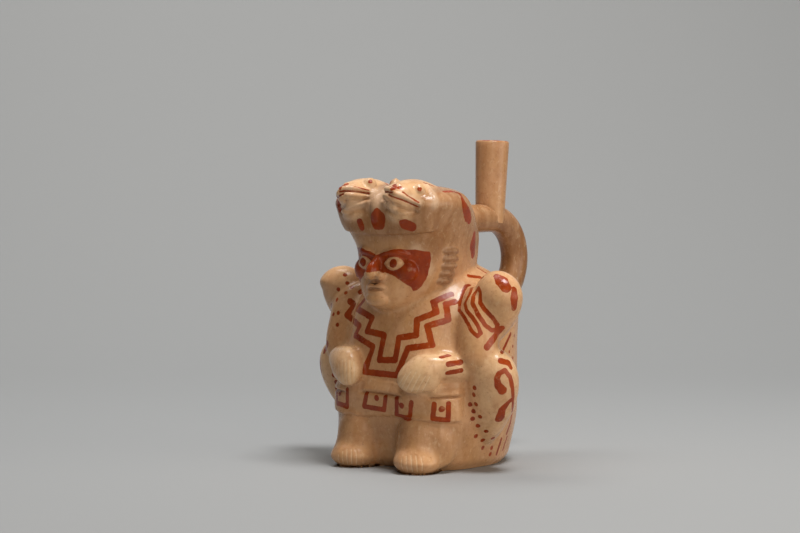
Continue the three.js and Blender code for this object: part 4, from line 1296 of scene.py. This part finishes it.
# Spout: a ring drawn up into a wall, rolled over at the rim and down the bore, its foot fitted to the
# stirrup
def make_spout():
    slope = (SPOUT_RIM_RADIUS - SPOUT_FOOT_RADIUS) / SPOUT_LENGTH
    round_rim = SPOUT_WALL / 2
    rim = SPOUT_LENGTH - round_rim

    def radius(z):
        return SPOUT_FOOT_RADIUS + slope * z
    profile = [(radius(z), z) for z in (4, 8, 11, 14, 20, 28, 36, 44, 50, rim)]
    for step in range(1, 7):
        angle = step / 6 * math.pi
        profile.append((radius(rim) - round_rim + round_rim * math.cos(angle),
                        rim + round_rim * math.sin(angle)))
    profile += [(radius(z) - SPOUT_WALL, z) for z in (48, 40, 30, 20, 12, 6)]
    deselect()
    bpy.ops.mesh.primitive_circle_add(vertices=SPOUT_SIDES, radius=SPOUT_FOOT_RADIUS / 1000,
                                      location=(0, 0, 0))
    piece = bpy.context.object
    editing(True)
    bpy.ops.mesh.select_mode(type='VERT')
    bpy.ops.mesh.select_all(action='SELECT')
    last_radius, last_z = SPOUT_FOOT_RADIUS, 0
    for r, z in profile:
        bpy.ops.mesh.extrude_region_move(TRANSFORM_OT_translate={"value": (0, 0, (z - last_z) / 1000)})
        bpy.ops.transform.resize(value=(r / last_radius, r / last_radius, 1),
                                 center_override=(0, 0, z / 1000))
        last_radius, last_z = r, z
    editing(False)
    local = own_places(piece.data) * 1000
    rings = len(local) // SPOUT_SIDES

    def seat(rows):
        inside = np.maximum(STIRRUP_RADIUS ** 2 - rows[:, 0] ** 2, 0)
        hang = SPOUT_TONGUE * smooth_step(0.8, 1.0, np.abs(rows[:, 0]) / SPOUT_FOOT_RADIUS)
        return np.sqrt(inside) - SPOUT_SINK - hang
    for ring in range(rings):
        here = np.arange(len(local)) // SPOUT_SIDES == ring
        from_foot = min(ring, rings - 1 - ring)
        floor, height = seat(local[here]) + 0.4 * from_foot, local[here, 2]
        fitted = np.where(height < SPOUT_FITTED, np.maximum(height, floor), height)
        local[here, 2] = fitted if from_foot else floor
    piece.data.vertices.foreach_set('co', (local / 1000).astype(np.float32).ravel())
    piece.data.update()
    only(piece)
    editing(True)
    bpy.ops.mesh.select_all(action='SELECT')
    bpy.ops.mesh.region_to_loop()
    bpy.ops.mesh.bridge_edge_loops()
    bpy.ops.mesh.select_all(action='SELECT')
    bpy.ops.mesh.normals_make_consistent(inside=False)
    bpy.ops.transform.rotate(value=math.radians(SPOUT_LEAN), orient_axis='X', center_override=(0, 0, 0))
    editing(False)
    write(piece.data, own_places(piece.data) * 1000 + np.array([0, SPOUT_SETBACK, STIRRUP_TOP]))
    lip = np.abs(local[:, 2] - SPOUT_LENGTH + 0.3) + 0.1
    keep(piece.data, "slip", np.where(lip < 3, lip, FAR))
    # The spout is darkened evenly, as smoke and painted shade
    for name, value in (("cream", 0), ("umber", 0), ("hollow", 0), ("crease", 0), ("bloom", 0),
                        ("groove", FAR), ("smoke", SPOUT_SMOKE_AND_SHADE)):
        keep(piece.data, name, np.full(len(local), value))
    piece.data.materials.append(slots["buff_clay"])
    only(piece)
    bpy.ops.object.shade_smooth_by_angle(angle=math.radians(50))
    piece.name = "clay_spout"
    piece.data.name = piece.name
    return piece


made.append((make_spout(), "spout", "buff_clay"))

for piece, name, slot in made:
    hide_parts(name)
    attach(piece, "root")

# Studio: a pale paper sweep, soft lights, and a camera at the photograph's angle
SWEEP_BEND = 0.55
SWEEP_WALL = 1.5
SWEEP_WIDTH = 5
SWEEP_LENGTH = 6
SWEEP_FRONT = 2.2
deselect()
bpy.ops.mesh.primitive_grid_add(x_subdivisions=1, y_subdivisions=60, size=1, location=(0, 0, 0))
sweep = bpy.context.object
sweep.name = "studio_floor"
for point in sweep.data.vertices:
    along = -SWEEP_FRONT + (point.co.y + 0.5) * SWEEP_LENGTH
    round_sweep = SWEEP_WALL - SWEEP_BEND
    bend = min(max((along - SWEEP_BEND) / round_sweep, 0), 1.5)
    away = min(along, SWEEP_BEND) + round_sweep * math.sin(bend)
    rise = round_sweep * (1 - math.cos(bend)) + max(along - SWEEP_BEND - round_sweep * 1.5, 0)
    place = side_way * point.co.x * SWEEP_WIDTH - back_way * away
    point.co = (place[0], place[1], rise)
for face in sweep.data.polygons:
    face.use_smooth = True
paper = bpy.data.materials.new("studio_paper")
paper.use_nodes = True
PAPER = (0.335, 0.338, 0.338, 1)
for socket, value in (('Base Color', PAPER), ('Roughness', 0.9), ('Specular IOR Level', 0.2)):
    paper.node_tree.nodes["Principled BSDF"].inputs[socket].default_value = value
sweep.data.materials.append(paper)

world = bpy.context.scene.world or bpy.data.worlds.new("studio")
bpy.context.scene.world = world
world.use_nodes = True
for socket, value in (('Color', (0.4, 0.41, 0.42, 1)), ('Strength', 0.13)):
    world.node_tree.nodes["Background"].inputs[socket].default_value = value


def staged(right, toward, up):
    return Vector(side_way * right + back_way * toward + np.array([0, 0, up]))


def softbox(name, right, toward, up, size, power, colour, aim=(0, 0, 0.11)):
    data = bpy.data.lights.new(name, 'AREA')
    data.shape = 'SQUARE'
    data.size = size
    data.energy = power
    data.color = colour
    lamp = bpy.data.objects.new(name, data)
    bpy.context.collection.objects.link(lamp)
    lamp.location = staged(right, toward, up)
    lamp.rotation_euler = (staged(*aim) - lamp.location).to_track_quat('-Z', 'Y').to_euler()


softbox("key_light", 0.25, 0.35, 1.6, 0.45, 22.5, (0.98, 0.99, 1))
softbox("front_light", 0.3, 1.5, 0.7, 0.8, 6.2, (1, 0.87, 0.72), aim=(0, 0, 0.1))
softbox("right_light", 1.1, 1.1, 0.5, 0.8, 4, (1, 0.92, 0.8), aim=(0, 0, 0.08))
softbox("side_light", 1.6, 0.55, 0.3, 0.9, 7.5, (1, 0.95, 0.85), aim=(0, 0, 0.05))
softbox("wall_light", -0.5, -0.5, 1.9, 1.0, 20, (1, 0.99, 0.97), aim=(-0.5, -1.5, 0.45))

camera_data = bpy.data.cameras.new("camera")
camera_data.lens = 105
camera_data.sensor_width = 36
camera = bpy.data.objects.new("camera", camera_data)
bpy.context.collection.objects.link(camera)
camera.location = Vector((eye_point - SHIFT) / 1000)
camera.rotation_euler = (math.pi / 2 - CAMERA_PITCH, 0, CAMERA_TURN)
bpy.context.scene.camera = camera
bpy.context.scene.view_settings.view_transform = 'Standard'
